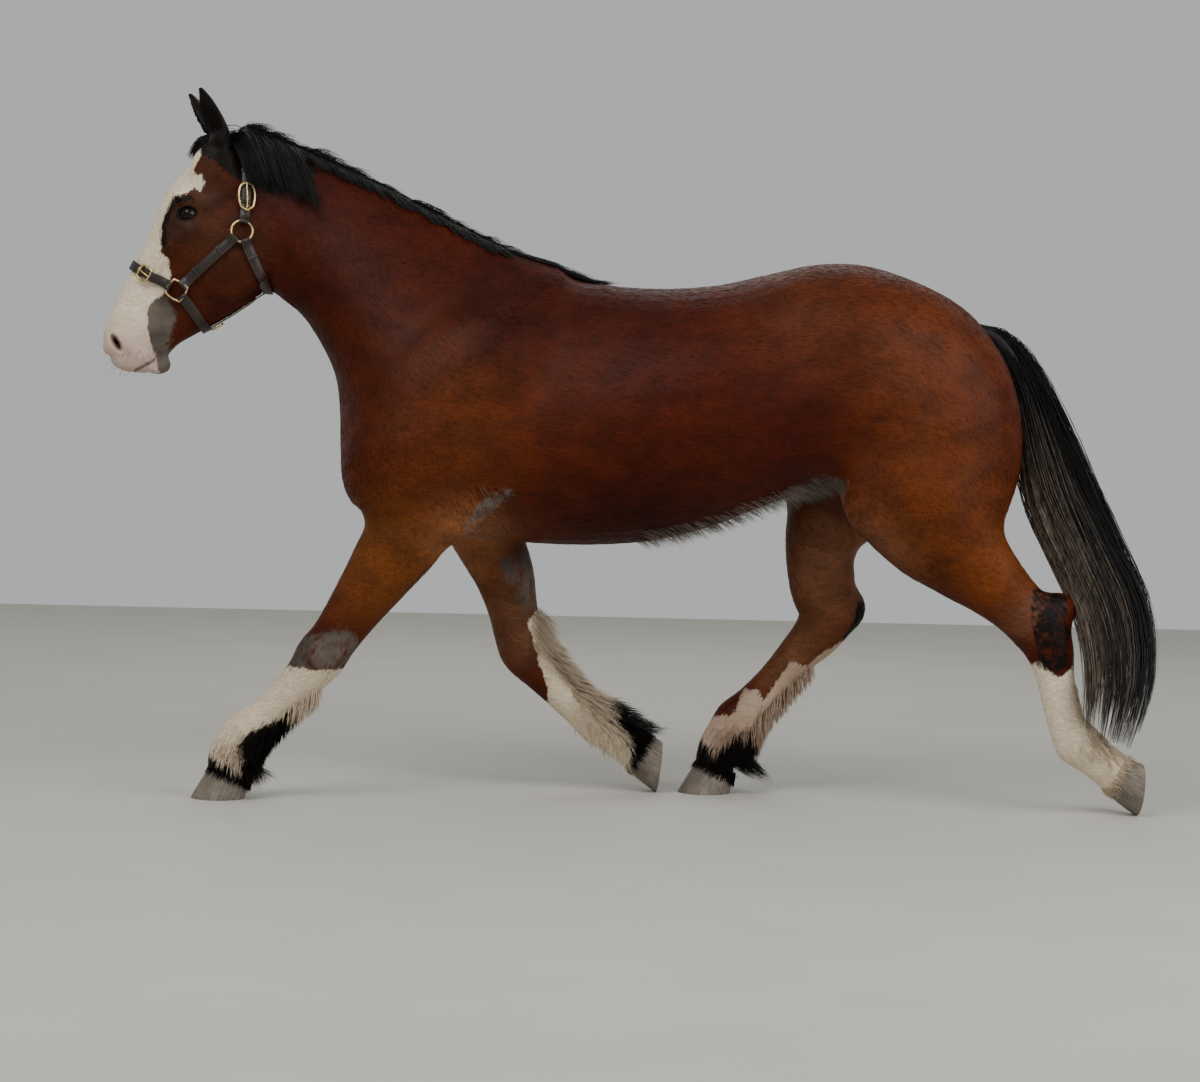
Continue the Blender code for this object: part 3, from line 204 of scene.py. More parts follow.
# %% Lofting
def spline(rows, steps):
    """A Catmull-Rom curve through the rows, with this many points from each row to the next."""
    rows = np.array(rows, float)
    ends = np.vstack([2 * rows[0] - rows[1], rows, 2 * rows[-1] - rows[-2]])
    points = []
    for a, b, c, d in zip(ends, ends[1:], ends[2:], ends[3:]):
        for t in np.arange(steps) / steps:
            bent = (2 * a - 5 * b + 4 * c - d) * t**2 + (3 * b - a - 3 * c + d) * t**3
            points.append(0.5 * (2 * b + (c - a) * t + bent))
    return np.array(points + [rows[-1]])


def loft(rings):
    """A closed mesh through rings of points: (points, triangles, quads)."""
    rings = np.array(rings)
    count, sides = rings.shape[:2]
    points = np.vstack([rings.reshape(-1, 3), rings[0].mean(0), rings[-1].mean(0)])
    turn = np.arange(sides)
    after = (turn + 1) % sides
    quads = [np.stack([turn, after, after + sides, turn + sides], 1) + i * sides for i in range(count - 1)]
    first = np.stack([np.full(sides, count * sides), after, turn], 1)
    last = np.stack([np.full(sides, count * sides + 1), turn + (count - 1) * sides, after + (count - 1) * sides], 1)
    return points, np.vstack([first, last]), np.vstack(quads)


def egg_ring(centre, depth_way, depth, width, egg, sides=40):
    """A ring in the plane of depth_way and Y, narrower on the depth side when egg is below 0."""
    turn = np.arange(sides) * 2 * math.pi / sides
    along = np.cos(turn)[:, None] * np.array(depth_way) * depth
    across = (np.sin(turn) * width * (1 + egg * np.cos(turn)))[:, None] * np.array((0, 1, 0))
    return np.array(centre) + along + across


def rail_form(rows, steps=6):
    """A loft between an upper and a lower rail in the plane of symmetry."""
    rings = []
    for x1, z1, x2, z2, width, egg in spline(rows, steps):
        half = np.array((x1 - x2, 0, z1 - z2)) / 2
        depth = np.linalg.norm(half)
        rings.append(egg_ring(((x1 + x2) / 2, 0, (z1 + z2) / 2), half / depth, depth, width, egg))
    return loft(rings)


def leg_path(name, steps=6):
    """A leg's middle line: points, way down, way forward, half depths and half widths."""
    x, z, depth, width, y = spline(LEGS[name], steps).T
    down = unit(seen_from_side(np.gradient(x), np.gradient(z)))
    return np.stack([x, side_of(name) * y, z], 1), down, seen_from_side(down[:, 2], -down[:, 0]), depth, width


def leg_form(name):
    centres, _, forward, depth, width = leg_path(name)
    return loft([egg_ring(*ring, -0.06) for ring in zip(centres, forward, depth, width)])


def rounded(centre, radii, pitch, rings=14, sides=24):
    """An ellipsoid, pitched about Y."""
    polar = (math.pi * np.arange(1, rings) / rings)[:, None]
    turn = (2 * math.pi * np.arange(sides) / sides)[None]
    made = np.stack([np.cos(turn) * np.sin(polar), np.sin(turn) * np.sin(polar), np.cos(polar) + 0 * turn], 2)
    return loft(made * np.array(radii) @ pitched(pitch).T + np.array(centre))


def frames_along(path):
    """The way along a path, and two ways across it that turn as little as they can."""
    ways = unit(np.gradient(np.array(path, float), axis=0))
    side = np.cross(ways[0], (0.3, 0.9, 0.2))
    sides = []
    for way in ways:
        side = side - way * side.dot(way)
        side = side / np.linalg.norm(side)
        sides.append(side)
    return ways, np.array(sides), np.cross(ways, sides)


def tube_form(path, radii, sides=10):
    """A tube along the path, with a radius for each of its points."""
    _, across, up = frames_along(path)
    turn = 2 * math.pi * np.arange(sides) / sides
    circle = [np.cos(turn)[:, None] * a + np.sin(turn)[:, None] * b for a, b in zip(across, up)]
    return loft([p + c * r for p, c, r in zip(np.array(path, float), circle, np.broadcast_to(radii, len(path)))])


print("a leg has", len(leg_form("foreleg_left")[0]), "points")


# %% [markdown]
# ### Ears and eyelids
# An ear is a cupped leaf: rings of a thick crescent from its full base to its tip. The lids are two
# rolls of skin from corner to corner of the eye. Both are forms of the flesh too, so that the skin
# runs over them with no seam.

# %% Ears and lids as forms
EARS = (  # base, tip, and the way that the opening faces
    ((-1.022, -0.060, 1.604), (-1.081, -0.080, 1.740), (-0.80, -0.58, 0.15)),
    ((-1.034, 0.060, 1.606), (-1.121, 0.078, 1.740), (-0.90, 0.42, 0.10)),
)
# share of the length, half width, half depth, how far hollowed
EAR_RINGS = table("""
    -120 20 20 0, 20 27 27 0, 140 32 28 250, 300 35 26 850, 500 34 21 950, 700 27 16 900, 860 16 11 700,
    960 7 6 300""")
EAR_WALL, EAR_CUP_WALL = 0.0118, 0.0095  # at the back and at the edges
LIDS = ((0.0178, 0.0058), (-0.0156, 0.0050))  # height over the middle of the eye, and thickness


def ear_form(base, tip, faces):
    base, tip, faces = (np.array(v) for v in (base, tip, faces))
    length = np.linalg.norm(tip - base)
    axis = (tip - base) / length
    front = faces - axis * faces.dot(axis)
    front /= np.linalg.norm(front)
    side = np.cross(axis, front)
    rings = []
    for share, wide, deep, hollow in spline(EAR_RINGS, 4):
        centre = base + axis * length * share
        ring = []
        for turn in np.radians(np.linspace(-114, 114, 15)):
            ring.append(centre + side * math.sin(turn) * wide - front * math.cos(turn) * deep)
        for turn in np.radians(np.linspace(96, -96, 11)):
            cup = side * math.sin(turn) * (wide - EAR_CUP_WALL * hollow)
            inner = cup - front * math.cos(turn) * (deep - EAR_WALL)
            outer = cup + front * (math.cos(turn) * deep * 0.8 + deep * 0.37)
            ring.append(centre + outer * (1 - hollow) + inner * hollow)
        rings.append(ring)
    return loft(rings)


def lid_forms(side):
    """The upper and the lower lid, over an eyeball."""
    centre, out = eye_at(side)
    lids = []
    for rise, thick in LIDS:
        turn = np.linspace(0, math.pi, 13)[:, None]
        way = EYE_FORWARD * np.cos(turn) * 0.0205 + EYE_UP * np.sin(turn) * rise
        way = way + out * np.sqrt(np.maximum(EYE_RADIUS**2 - (way**2).sum(1), 1e-6))[:, None]
        radii = thick * (0.78 + 0.22 * np.sin(turn[:, 0]))
        lids.append((tube_form(centre + unit(way) * (EYE_RADIUS + 0.0015), radii), 0.004))
    return lids


flesh = [(rail_form([(x, top, x, low, wide, egg) for x, top, low, wide, egg in TRUNK]), 0.05)]
flesh += [(rail_form(NECK), 0.07), (rail_form(HEAD), 0.05)]
flesh += [(rounded(row[:3] / 1000, row[3:6] / 1000, row[6]), float(row[7]) / 1000) for row in MUSCLES]
flesh += [(leg_form(name), 0.05) for name in LEGS]
for row in FACE_MASSES.values():
    x, y, z, *radii, blend = (v / 1000 for v in row[:6] + row[7:])
    flesh += [(rounded(place, radii, row[6]), blend) for place in {(x, y, z), (x, -y, z)}]
for crest in (FACIAL_CREST, [mirrored(p) for p in FACIAL_CREST]):
    flesh.append((tube_form(crest, (0.006, 0.012, 0.006)), 0.02))
face = [lid for side in (LEFT, RIGHT) for lid in lid_forms(side)] + [(ear_form(*ear), 0.010) for ear in EARS]
print(len(flesh), "forms of flesh and", len(face), "fine ones")


# %% [markdown]
# ### One skin
# The forms are turned into distance fields, and a smooth union gives every place where two of them
# meet a fillet, as skin and fat do. The head is meshed with small cells and the rest with larger
# ones. Both meshes are opened at the same place in the neck and zipped together, which makes one
# skin with no seam. It lies 2 mm inside the solids, the depth of the short coat.

# %% The blended field
def whole(values):
    return tuple(int(v) for v in values)


def blended(forms, cuts, planes, voxel, low, high, inset):
    """The smooth union of the forms less the cuts, as a mesh inside a box: (points, quads)."""
    first, last = (np.round(np.array(v) / voxel).astype(int) for v in (low, high))
    forms = [
        (form, blend, 1) for form, blend in forms if (form[0].max(0) > low).all() and (form[0].min(0) < high).all()]
    band = max(blend for _, blend, _ in forms) / voxel + 2
    field = np.full(last - first, band * voxel, np.float32)

    def part_of(start, end):
        return field[tuple(slice(a, b) for a, b in zip(start - first, end - first))]

    for (points, triangles, quads), blend, kind in forms + [(form, blend, -1) for form, blend in cuts]:
        start = np.maximum(np.floor(points.min(0) / voxel - band).astype(int), first)
        end = np.minimum(np.ceil(points.max(0) / voxel + band).astype(int), last)
        if (end <= start).any():
            continue
        level = vdb.FloatGrid.createLevelSetFromPolygons(
            points.astype(np.float32), triangles=triangles.astype(np.uint32), quads=quads.astype(np.uint32),
            transform=vdb.createLinearTransform(voxelSize=voxel), halfWidth=band,
        )
        form = np.empty(end - start, np.float32)
        level.copyToArray(form, ijk=whole(start))
        part = part_of(start, end)
        if kind > 0:
            near = np.where((part < blend) & (form < blend), np.maximum(blend - np.abs(part - form), 0), 0)
            part[...] = np.minimum(part, form) - near * near / (4 * blend)
        else:
            near = np.where(np.abs(form) < blend, np.maximum(blend - np.abs(part + form), 0), 0)
            part[...] = np.maximum(part, -form) + near * near / (4 * blend)
    for point, down in planes:  # the legs end in their hooves
        around = np.array((0.09, 0.12, 0.12))
        start = np.maximum(np.round((np.array(point) - around) / voxel).astype(int), first)
        end = np.minimum(np.round((np.array(point) + around) / voxel).astype(int), last)
        if (end > start).all():
            x, _, z = (np.arange(a, b) for a, b in zip(start, end))
            beyond = (x[:, None] * voxel - point[0]) * down[0] + (z[None] * voxel - point[2]) * down[2]
            part = part_of(start, end)
            part[...] = np.maximum(part, beyond[:, None, :])
    for axis in range(3):
        for edge in (0, -1):
            field[tuple(edge if i == axis else slice(None) for i in range(3))] = voxel
    grid = vdb.FloatGrid(band * voxel)
    grid.transform = vdb.createLinearTransform(voxelSize=voxel)
    grid.copyFromArray(field, ijk=whole(first))
    return grid.convertToQuads(-inset)


# %% Small mesh helpers
@contextmanager
def editing(mesh):
    """Opens a mesh as a BMesh, and writes it back at the end."""
    work = bmesh.new()
    work.from_mesh(mesh)
    yield work
    work.to_mesh(mesh)
    work.free()


def new_object(name, points, faces, smooth=True):
    """An object from an array of points and an array of faces that have the same number of corners."""
    faces = np.array(faces)
    mesh = bpy.data.meshes.new(name)
    mesh.vertices.add(len(points))
    mesh.vertices.foreach_set("co", np.array(points, np.float32).ravel())
    mesh.loops.add(faces.size)
    mesh.loops.foreach_set("vertex_index", faces.astype(np.int32).ravel())
    mesh.polygons.add(len(faces))
    mesh.polygons.foreach_set("loop_start", np.arange(len(faces), dtype=np.int32) * faces.shape[1])
    mesh.polygons.foreach_set("use_smooth", np.full(len(faces), smooth))
    mesh.update(calc_edges=True)
    return linked(name, mesh)


def form_object(name, form):
    """An object from a lofted form, with its faces pointing outwards."""
    points, triangles, quads = form
    obj = new_object(name, points, np.vstack([triangles, quads[:, [0, 1, 2]], quads[:, [0, 2, 3]]]))
    with editing(obj.data) as work:
        bmesh.ops.recalc_face_normals(work, faces=work.faces)
        bmesh.ops.join_triangles(work, faces=work.faces, angle_face_threshold=0.6, angle_shape_threshold=0.6)
    return obj


def evaluated_mesh(obj):
    """What the object's modifiers make of it, as plain mesh."""
    return bpy.data.meshes.new_from_object(obj.evaluated_get(bpy.context.evaluated_depsgraph_get()))


def triangles_in(obj):
    return sum(len(p.vertices) - 2 for p in obj.data.polygons)


def read(items, field, width=3, kind=np.float32):
    """One field of all the items of a mesh, as an array."""
    values = np.empty(len(items) * width, kind)
    items.foreach_get(field, values)
    return values.reshape(-1, width) if width > 1 else values


def vectors(items, field="vector"):
    return read(items, field).astype(float)


# %% Where each hoof meets its leg
HOOF_LENGTH, HOOF_WIDTH = 0.138, 0.132  # at the floor
CORONET_LENGTH, CORONET_WIDTH = 0.107, 0.104
CORONET_SET_BACK, CORONET_LEVEL, CORONET_TILT = 0.097, 0.057, 23.2  # its middle from the toe, degrees


def hoof_frame(name):
    """The turn and the place of a hoof: the raised ones rest on a small flat at the toe."""
    toe_x, pitch = HOOVES[name]
    turn = Matrix.Rotation(-math.radians(pitch), 4, "Y")
    return Matrix.Translation((toe_x, side_of(name) * LEGS[name][-1][4], -0.004 if pitch else 0.0)) @ turn


def coronet(name):
    """The middle of the coronet, and the way down through the hoof."""
    tilt, place = math.radians(CORONET_TILT), hoof_frame(name)
    down = place.to_3x3() @ Vector((-math.sin(tilt), 0, -math.cos(tilt)))
    return place @ Vector((CORONET_SET_BACK, 0, CORONET_LEVEL)), down


coronets = {name: coronet(name) for name in LEGS}
print({name: [round(v, 3) for v in point] for name, (point, _) in coronets.items()})

# %% Mesh the head and the body, and zip them together
COAT_DEPTH = 0.002
NECK_SEAM = (-0.875, -0.866)
fine, coarse = ((0.0033, 0.0085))
centre, radii, pitch = NOSTRIL
mouth = [*MOUTH_LINE[::-1], *[mirrored(p) for p in MOUTH_LINE[1:]]]
cuts = [(rounded(place, radii, pitch), 0.006) for place in (centre, mirrored(centre))]
cuts.append((tube_form(spline(mouth, 3), 0.0032), 0.003))
for side in (LEFT, RIGHT):
    cuts.append((rounded(eye_at(side)[0], (EYE_RADIUS - COAT_DEPTH - 0.0004,) * 3, 0), 0.0008))
planes = [(point + down * 0.012, down) for point, down in coronets.values()]
head_part = blended(flesh + face, cuts, [], fine, (-1.36, -0.2, 0.98), (-0.84, 0.2, 1.78), COAT_DEPTH)
body_part = blended(flesh, [], planes, coarse, (-1.14, -0.36, -0.02), (1.40, 0.36, 1.72), COAT_DEPTH)


def opened(part, x, keep):
    """The mesh of a part, cut open at x, above the height of the legs."""
    obj = new_object("part", *part)
    with editing(obj.data) as work:
        faces = [f for f in work.faces if f.verts[0].co.z > 0.8]
        geometry = [*{v for f in faces for v in f.verts}, *{e for f in faces for e in f.edges}, *faces]
        cut = {"plane_co": (x, 0, 0), "plane_no": (keep, 0, 0), "clear_inner": True, "dist": 1e-5}
        bmesh.ops.bisect_plane(work, geom=geometry, **cut)
    mesh = obj.data
    bpy.data.objects.remove(obj)
    return mesh


def rim_at(work, x):
    """The open edge at x: its vertices in order from the top round by the left, and how far round each is."""
    edges = {e for e in work.edges if e.is_boundary and abs(e.verts[0].co.x - x) < 1e-3}
    ring = [max((v for e in edges for v in e.verts), key=lambda v: v.co.z)]
    while edges:
        edge = min((e for e in ring[-1].link_edges if e in edges), key=lambda e: e.other_vert(ring[-1]).co.y)
        edges.remove(edge)
        ring.append(edge.other_vert(ring[-1]))
    steps = np.cumsum([0] + [(b.co - a.co).length for a, b in zip(ring, ring[1:])])
    return ring, steps / steps[-1]


skin = linked("skin", bpy.data.meshes.new("skin"))
with editing(skin.data) as work:
    work.from_mesh(opened(head_part, NECK_SEAM[0], -1))
    work.from_mesh(opened(body_part, NECK_SEAM[1], 1))
    (front, front_share), (rear, rear_share) = (rim_at(work, x) for x in NECK_SEAM)
    i = j = 0
    while i < len(front) - 1 or j < len(rear) - 1:
        if j == len(rear) - 1 or (i < len(front) - 1 and front_share[i + 1] <= rear_share[j + 1]):
            work.faces.new((front[i], front[i + 1], rear[j]))
            i += 1
        else:
            work.faces.new((front[i], rear[j + 1], rear[j]))
            j += 1
    bmesh.ops.recalc_face_normals(work, faces=work.faces)
    print("open edges left in the skin:", sum(e.is_boundary for e in work.edges))

# %% Thin the skin where it is flat
SKIN_TRIANGLES = 190_000
skin.modifiers.new("thin", "DECIMATE").ratio = min(1.0, SKIN_TRIANGLES / triangles_in(skin))
thinned = evaluated_mesh(skin)
skin.modifiers.clear()
skin.data = thinned
skin.data.polygons.foreach_set("use_smooth", np.full(len(skin.data.polygons), True))
skin_points, skin_normals = vectors(skin.data.vertices, "co"), vectors(skin.data.vertex_normals)
skin_tree = BVHTree.FromPolygons(skin_points.tolist(), [list(p.vertices) for p in skin.data.polygons])
print("skin:", triangles_in(skin), "triangles")

# %% [markdown]
# ## Markings
# Skin and coat have to carry the same markings, so they come from one function of place. It fills
# outlines that are drawn from the side, and says how far a point lies inside each kind of mark.
# The materials turn that distance into a ragged edge with noise, as hairs of two colours mix.

# %% Outlines of the markings
MARKS = {  # kind, side of the horse (0 is both), outline of x and z in millimetres
    "blaze": ("white", 0, """-1055 1614, -1076 1557, -1090 1534, -1072 1500, -1101 1474, -1130 1464,
        -1149 1429, -1163 1381, -1166 1334, -1146 1310, -1140 1273, -1154 1236, -1178 1215, -1195 1200,
        -1199 1143, -1185 1101, -1175 1074, -1169 1037, -1192 997, -1346 993, -1351 1211, -1281 1361,
        -1206 1511, -1147 1637"""),
    "island": ("white", 0, """-1092 1524, -1070 1524, -1060 1500, -1072 1481, -1091 1490"""),
    "muzzle": ("grey", 0, """-1197 1206, -1175 1226, -1146 1222, -1130 1187, -1134 1143, -1150 1105,
        -1137 1078, -1120 1045, -1151 1020, -1171 1038, -1177 1075, -1190 1102, -1201 1143, -1204 1186"""),
    # brow: partly painted shade under the ridge of the brow, partly the real dark edge of the bay along the blaze
    "brow": ("dark", 0, """-1140 1466, -1090 1471, -1085 1460, -1127 1454, -1145 1421, -1154 1386, -1153 1362,
        -1144 1342, -1152 1332, -1166 1354, -1169 1386, -1160 1421"""),
    "poll": ("dark", 0, """-1064 1566, -1085 1595, -1096 1664, -1160 1760, -1030 1780, -990 1700, -948 1662,
        -875 1630, -821 1585, -790 1540, -834 1490, -904 1480, -929 1494, -971 1503, -1004 1530, -1035 1550"""),
    "crest": ("dark", 0, """-900 1616, -842 1582, -792 1562, -723 1530, -658 1502, -602 1478, -541 1452,
        -472 1420, -411 1390, -350 1365, -350 1500, -900 1700"""),
    "left_knee": ("grey", LEFT, """-831 351, -812 388, -759 407, -681 416, -650 380, -683 333, -747 319,
        -801 320"""),
    "left_fore_sock": ("white", LEFT, """-870 330, -800 325, -740 322, -640 330, -560 240, -700 -50, -1150 -50,
        -1100 140, -1000 240"""),
    "left_fetlock": ("dark", LEFT, """-1078 142, -1041 147, -1023 114, -986 87, -941 74, -923 104, -943 132,
        -920 170, -884 182, -841 195, -792 200, -700 180, -782 71, -885 -18, -976 -8, -1076 63"""),
    "right_forearm": ("grey", RIGHT, """-312 583, -257 615, -189 581, -160 520, -247 452, -279 507"""),
    "right_fore_stocking": ("white", RIGHT, """-160 520, -130 460, -52 386, 15 260, -20 233, -6 178, 26 145,
        42 102, 187 9, -39 -99, -184 76, -187 199, -181 255, -217 356, -240 430"""),
    "right_fetlock": ("dark", RIGHT, """-22 239, 8 260, 92 262, 157 207, 163 -17, 50 -20, 38 69, 28 145, -3 173"""),
    "right_hind_stocking": ("white", RIGHT, """601 413, 523 375, 480 333, 434 342, 397 285, 370 243, 354 269,
        324 268, 292 211, 183 175, 62 -71, 521 -59, 514 209, 550 309, 617 364"""),
    "right_hock": ("dark", RIGHT, """602 500, 650 505, 650 420, 585 385, 568 405, 590 440"""),
    "right_hind_fetlock": ("dark", RIGHT, """146 131, 202 155, 226 117, 246 95, 276 126, 317 145, 350 138,
        368 116, 393 155, 432 225, 501 216, 454 67, 367 -25, 150 -30"""),
    "left_hock": ("dark", LEFT, """995 558, 1034 571, 1074 540, 1089 438, 1081 369, 1047 356, 1012 367,
        1009 411, 985 472"""),
    "left_hind_stocking": ("white", LEFT, """912 452, 962 399, 997 366, 1019 384, 1041 357, 1071 343, 1102 369,
        1160 316, 1309 246, 1353 -46, 1157 -51, 1030 117, 971 250"""),
    "belly": ("grey", 0, """-16 616, 95 636, 194 666, 330 737, 403 799, 477 821, 517 814, 518 769, 429 735,
        357 658, 184 586, 34 583"""),
    "elbow": ("grey", 0, """-410 662, -394 705, -365 742, -321 768, -292 774, -295 764, -330 738, -364 702,
        -394 668"""),
}
MOTTLED = ("left_knee", "elbow", "left_hock", "right_forearm")  # all edge, so that noise breaks them up
RAGGED = 0.03  # metres of distance that are kept on each side of an edge


def inside(points, outline):
    """How far points lie inside an outline seen from the side, in metres: below 0 is outside."""
    p, a = points[:, [0, 2]], np.array(outline)
    edge = np.roll(a, -1, 0) - a
    to = p[:, None] - a
    along = np.clip((to * edge).sum(2) / (edge**2).sum(1), 0, 1)
    near = np.linalg.norm(to - along[..., None] * edge, axis=2).min(1)
    above = a[:, 1] > p[:, None, 1]
    at = edge[:, 0] * (p[:, None, 1] - a[:, 1]) / np.where(edge[:, 1] == 0, 1e-9, edge[:, 1]) + a[:, 0]
    odd = ((above != np.roll(above, -1, 1)) & (p[:, None, 0] < at)).sum(1) % 2 == 1
    return np.where(odd, near, -near)


# %% [markdown]
# A bay is not one brown. The neck and the back are a deep red-brown. The shoulder and the croup are
# lighter partly by painted highlight. The thigh, gaskin and forearm are lighter and more orange partly by
# painted light, most of all on the far legs. The belly is almost black-red by painted shade. Each of these
# has a place and a reach, and a point takes the mean of them all, weighed by how near they are.

# %% Colours
def linear(hex_colour):
    """An sRGB colour such as #8a5a3c as the linear values that shaders use."""
    values = [int(hex_colour[i : i + 2], 16) / 255 for i in (1, 3, 5)]
    return tuple(v / 12.92 if v <= 0.04045 else ((v + 0.055) / 1.055) ** 2.4 for v in values)


BAY, BAY_WEIGHT = "#431505", 0.25
TONES = {  # x, z and reach in millimetres, colour of the coat there
    "neck": (-750, 1380, 200, "#350f04"), "base of the neck": (-600, 1100, 140, "#3d1406"),
    # shoulder: lighter partly by a painted highlight
    "shoulder": (-450, 980, 150, "#57290d"), "in front of the withers": (-350, 1160, 100, "#260602"),
    "withers": (-300, 1280, 100, "#2f0d06"), "back": (-50, 1240, 140, "#350f05"),
    "behind the elbow": (-200, 960, 100, "#4c1d0a"), "ribs": (50, 950, 180, "#411304"),
    # belly: almost black-red, painted shade under the barrel
    "belly": (50, 700, 120, "#260704"), "flank": (360, 920, 100, "#3a0e05"),
    # croup: lighter partly by a painted highlight; point of the hip to the thigh: lighter partly by painted light
    "croup": (450, 1260, 140, "#4c230f"), "point of the hip to the thigh": (700, 1120, 140, "#5c2c12"),
    # second thigh: lighter partly by painted light
    "second thigh": (720, 800, 140, "#5a2b0c"), "fold of the flank": (520, 900, 60, "#4a1c0a"),
    # gaskin and forearm: lighter partly by painted light against the shade on the legs
    "gaskin": (920, 620, 100, "#6a3714"), "forearm": (-600, 600, 120, "#633612"),
    # right forearm and right gaskin: much lighter by painted light on the far legs
    "right forearm": (-400, 620, 80, "#8a5836"), "right gaskin": (550, 600, 100, "#80543a"),
    # right knee and right hind cannon: lighter by painted light on the far legs
    "right knee": (-280, 420, 80, "#6b4630"), "right hind cannon": (420, 380, 80, "#6a452c"),
    "cheek": (-1020, 1360, 80, "#432614"), "forehead": (-1080, 1500, 50, "#452a17"),
    "round the eye": (-1120, 1400, 35, "#33231b"), "rim of the lower lid": (-1097, 1399, 8, "#54473e"),
    # crease behind the eye, its middle and its upper end: painted shade in the crease
    "crease behind the eye": (-1050, 1436, 11, "#240804"), "its middle": (-1028, 1453, 11, "#240804"),
    "its upper end": (-1004, 1472, 11, "#240804"), "front of the left hock": (970, 490, 40, "#63402f"),
    "jaw": (-1060, 1240, 70, "#431a0c"),
}


def markings(points):
    """The colour of the coat, how far inside the white, dark and grey marks, and how bare the skin is."""
    *place, reach = np.array([row[:3] for row in TONES.values()]).T / 1000
    colours = np.array([linear(row[3]) for row in TONES.values()])
    weight = np.exp(-(np.linalg.norm(points[:, None, [0, 2]] - np.stack(place, 1), axis=2) / reach) ** 2)
    tone = (weight @ colours + BAY_WEIGHT * np.array(linear(BAY))) / (weight.sum(1) + BAY_WEIGHT)[:, None]
    found = {kind: np.full(len(points), -RAGGED) for kind in ("white", "dark", "grey")}
    for name, (kind, side, outline) in MARKS.items():
        near = inside(points, table(outline))
        if name in MOTTLED:
            near = np.minimum(near, 0.003)
        if side:
            near = np.where(points[:, 1] * side > 0, near, -RAGGED)
        found[kind] = np.maximum(found[kind], np.clip(near, -RAGGED, RAGGED))
    x, y, z = points.T
    low = np.clip((1.19 - z) / 0.10, 0, 1) * (x < -1.1)
    folded = np.stack([x, np.abs(y), z], 1)  # both sides as the left one
    off = folded - EYE_CENTRE
    rim = np.sqrt((off**2).sum(1) - 0.36 * (off @ EYE_FORWARD) ** 2)  # longer from corner to corner
    found["bare"] = np.maximum(low, np.clip((0.0290 - rim) / 0.004, 0, 1))
    middle, radii, pitch = NOSTRIL
    nostril = np.linalg.norm((folded - middle) @ pitched(pitch) / (radii[0], 0.04, radii[2]), axis=1)
    lips = MOUTH_LINE[:, [0, 2]]
    mouth = -np.abs(inside(points, np.vstack([lips, lips[::-1] + (0, 1e-4)])))
    # deep: the dark skin of the lids round the eye, and painted shade inside the nostrils and along the mouth line
    found["deep"] = np.max([
        np.clip((0.0262 - rim) / 0.0018, 0, 1), np.clip((1.05 - nostril) / 0.3, 0, 1),
        0.75 * np.clip((0.0045 + mouth) / 0.003, 0, 1) * (x < -1.1)], 0)
    dust = np.select([(y > 0) & (x > 0.15), (y > 0), (x < 0)], [0.75, 0.15, 0.25], 0.0)
    found["dusty"] = np.where(z > 0.6, 0.0, dust)
    found["tone"] = np.hstack([tone, np.ones((len(points), 1))])
    return found


def give(mesh, values):
    """Stores values for each vertex as named attributes: numbers, vectors or colours."""
    for name, value in values.items():
        value = np.asarray(value, np.float32)
        kinds = {1: ("FLOAT", "value"), 3: ("FLOAT_VECTOR", "vector"), 4: ("FLOAT_COLOR", "color")}
        kind, field = kinds[value.size // len(value)]
        mesh.attributes.new(name, kind, "POINT").data.foreach_set(field, value.ravel())


give(skin.data, markings(skin_points))
print("marks:", len(MARKS), "outlines,", len(TONES), "tones")

# %% [markdown]
# ## Materials
# A few small functions add nodes with their settings and links. Colours are sRGB hex values, turned
# to linear by one function, and every pattern's scale comes from a real size.

# %% Node helpers
def add(tree, kind, links=None, **settings):
    """Adds a node; links gives each of its sockets a value or another node's socket."""
    node = tree.nodes.new(kind)
    for key, value in settings.items():
        setattr(node, key, value)
    for key, value in (links or {}).items():
        if isinstance(value, bpy.types.NodeSocket):
            tree.links.new(value, node.inputs[key])
        else:
            node.inputs[key].default_value = value
    return node


def new_material(name, **shader_settings):
    """A material with its Principled shader: settings that are the same all over go on its sockets."""
    material = bpy.data.materials.new(name)
    material.use_nodes = True
    shader = material.node_tree.nodes["Principled BSDF"]
    for key, value in shader_settings.items():
        shader.inputs[key.replace("_", " ")].default_value = value
    return material, material.node_tree, shader


def calc(tree, operation, *values):
    """One step of arithmetic."""
    return add(tree, "ShaderNodeMath", dict(enumerate(values)), operation=operation).outputs[0]


def calc_vector(tree, operation, *values):
    node = add(tree, "ShaderNodeVectorMath", dict(enumerate(values)), operation=operation)
    return node.outputs["Value" if operation == "LENGTH" else 0]


def stored(tree, name, output="Fac"):
    """A value that the mesh carries."""
    return add(tree, "ShaderNodeAttribute", attribute_name=name).outputs[output]


def faded(tree, value, low, high, to_low=0.0, to_high=1.0):
    """A smooth step of a value from one number to another."""
    links = {"Value": value, "From Min": low, "From Max": high, "To Min": to_low, "To Max": to_high}
    return add(tree, "ShaderNodeMapRange", links, interpolation_type="SMOOTHSTEP").outputs["Result"]


def mixed(tree, factor, one, other):
    """One colour turning into another: hex values or sockets. A factor of (value, low, high, ...) is faded."""
    if isinstance(factor, tuple):
        factor = faded(tree, *factor)
    node = add(tree, "ShaderNodeMix", {"Factor": factor}, data_type="RGBA")
    inputs = [s for s in node.inputs if s.type == "RGBA"]
    for socket, colour in zip(inputs, (one, other)):
        if isinstance(colour, str):
            socket.default_value = (*linear(colour), 1)
        else:
            tree.links.new(colour, socket)
    return next(s for s in node.outputs if s.type == "RGBA")


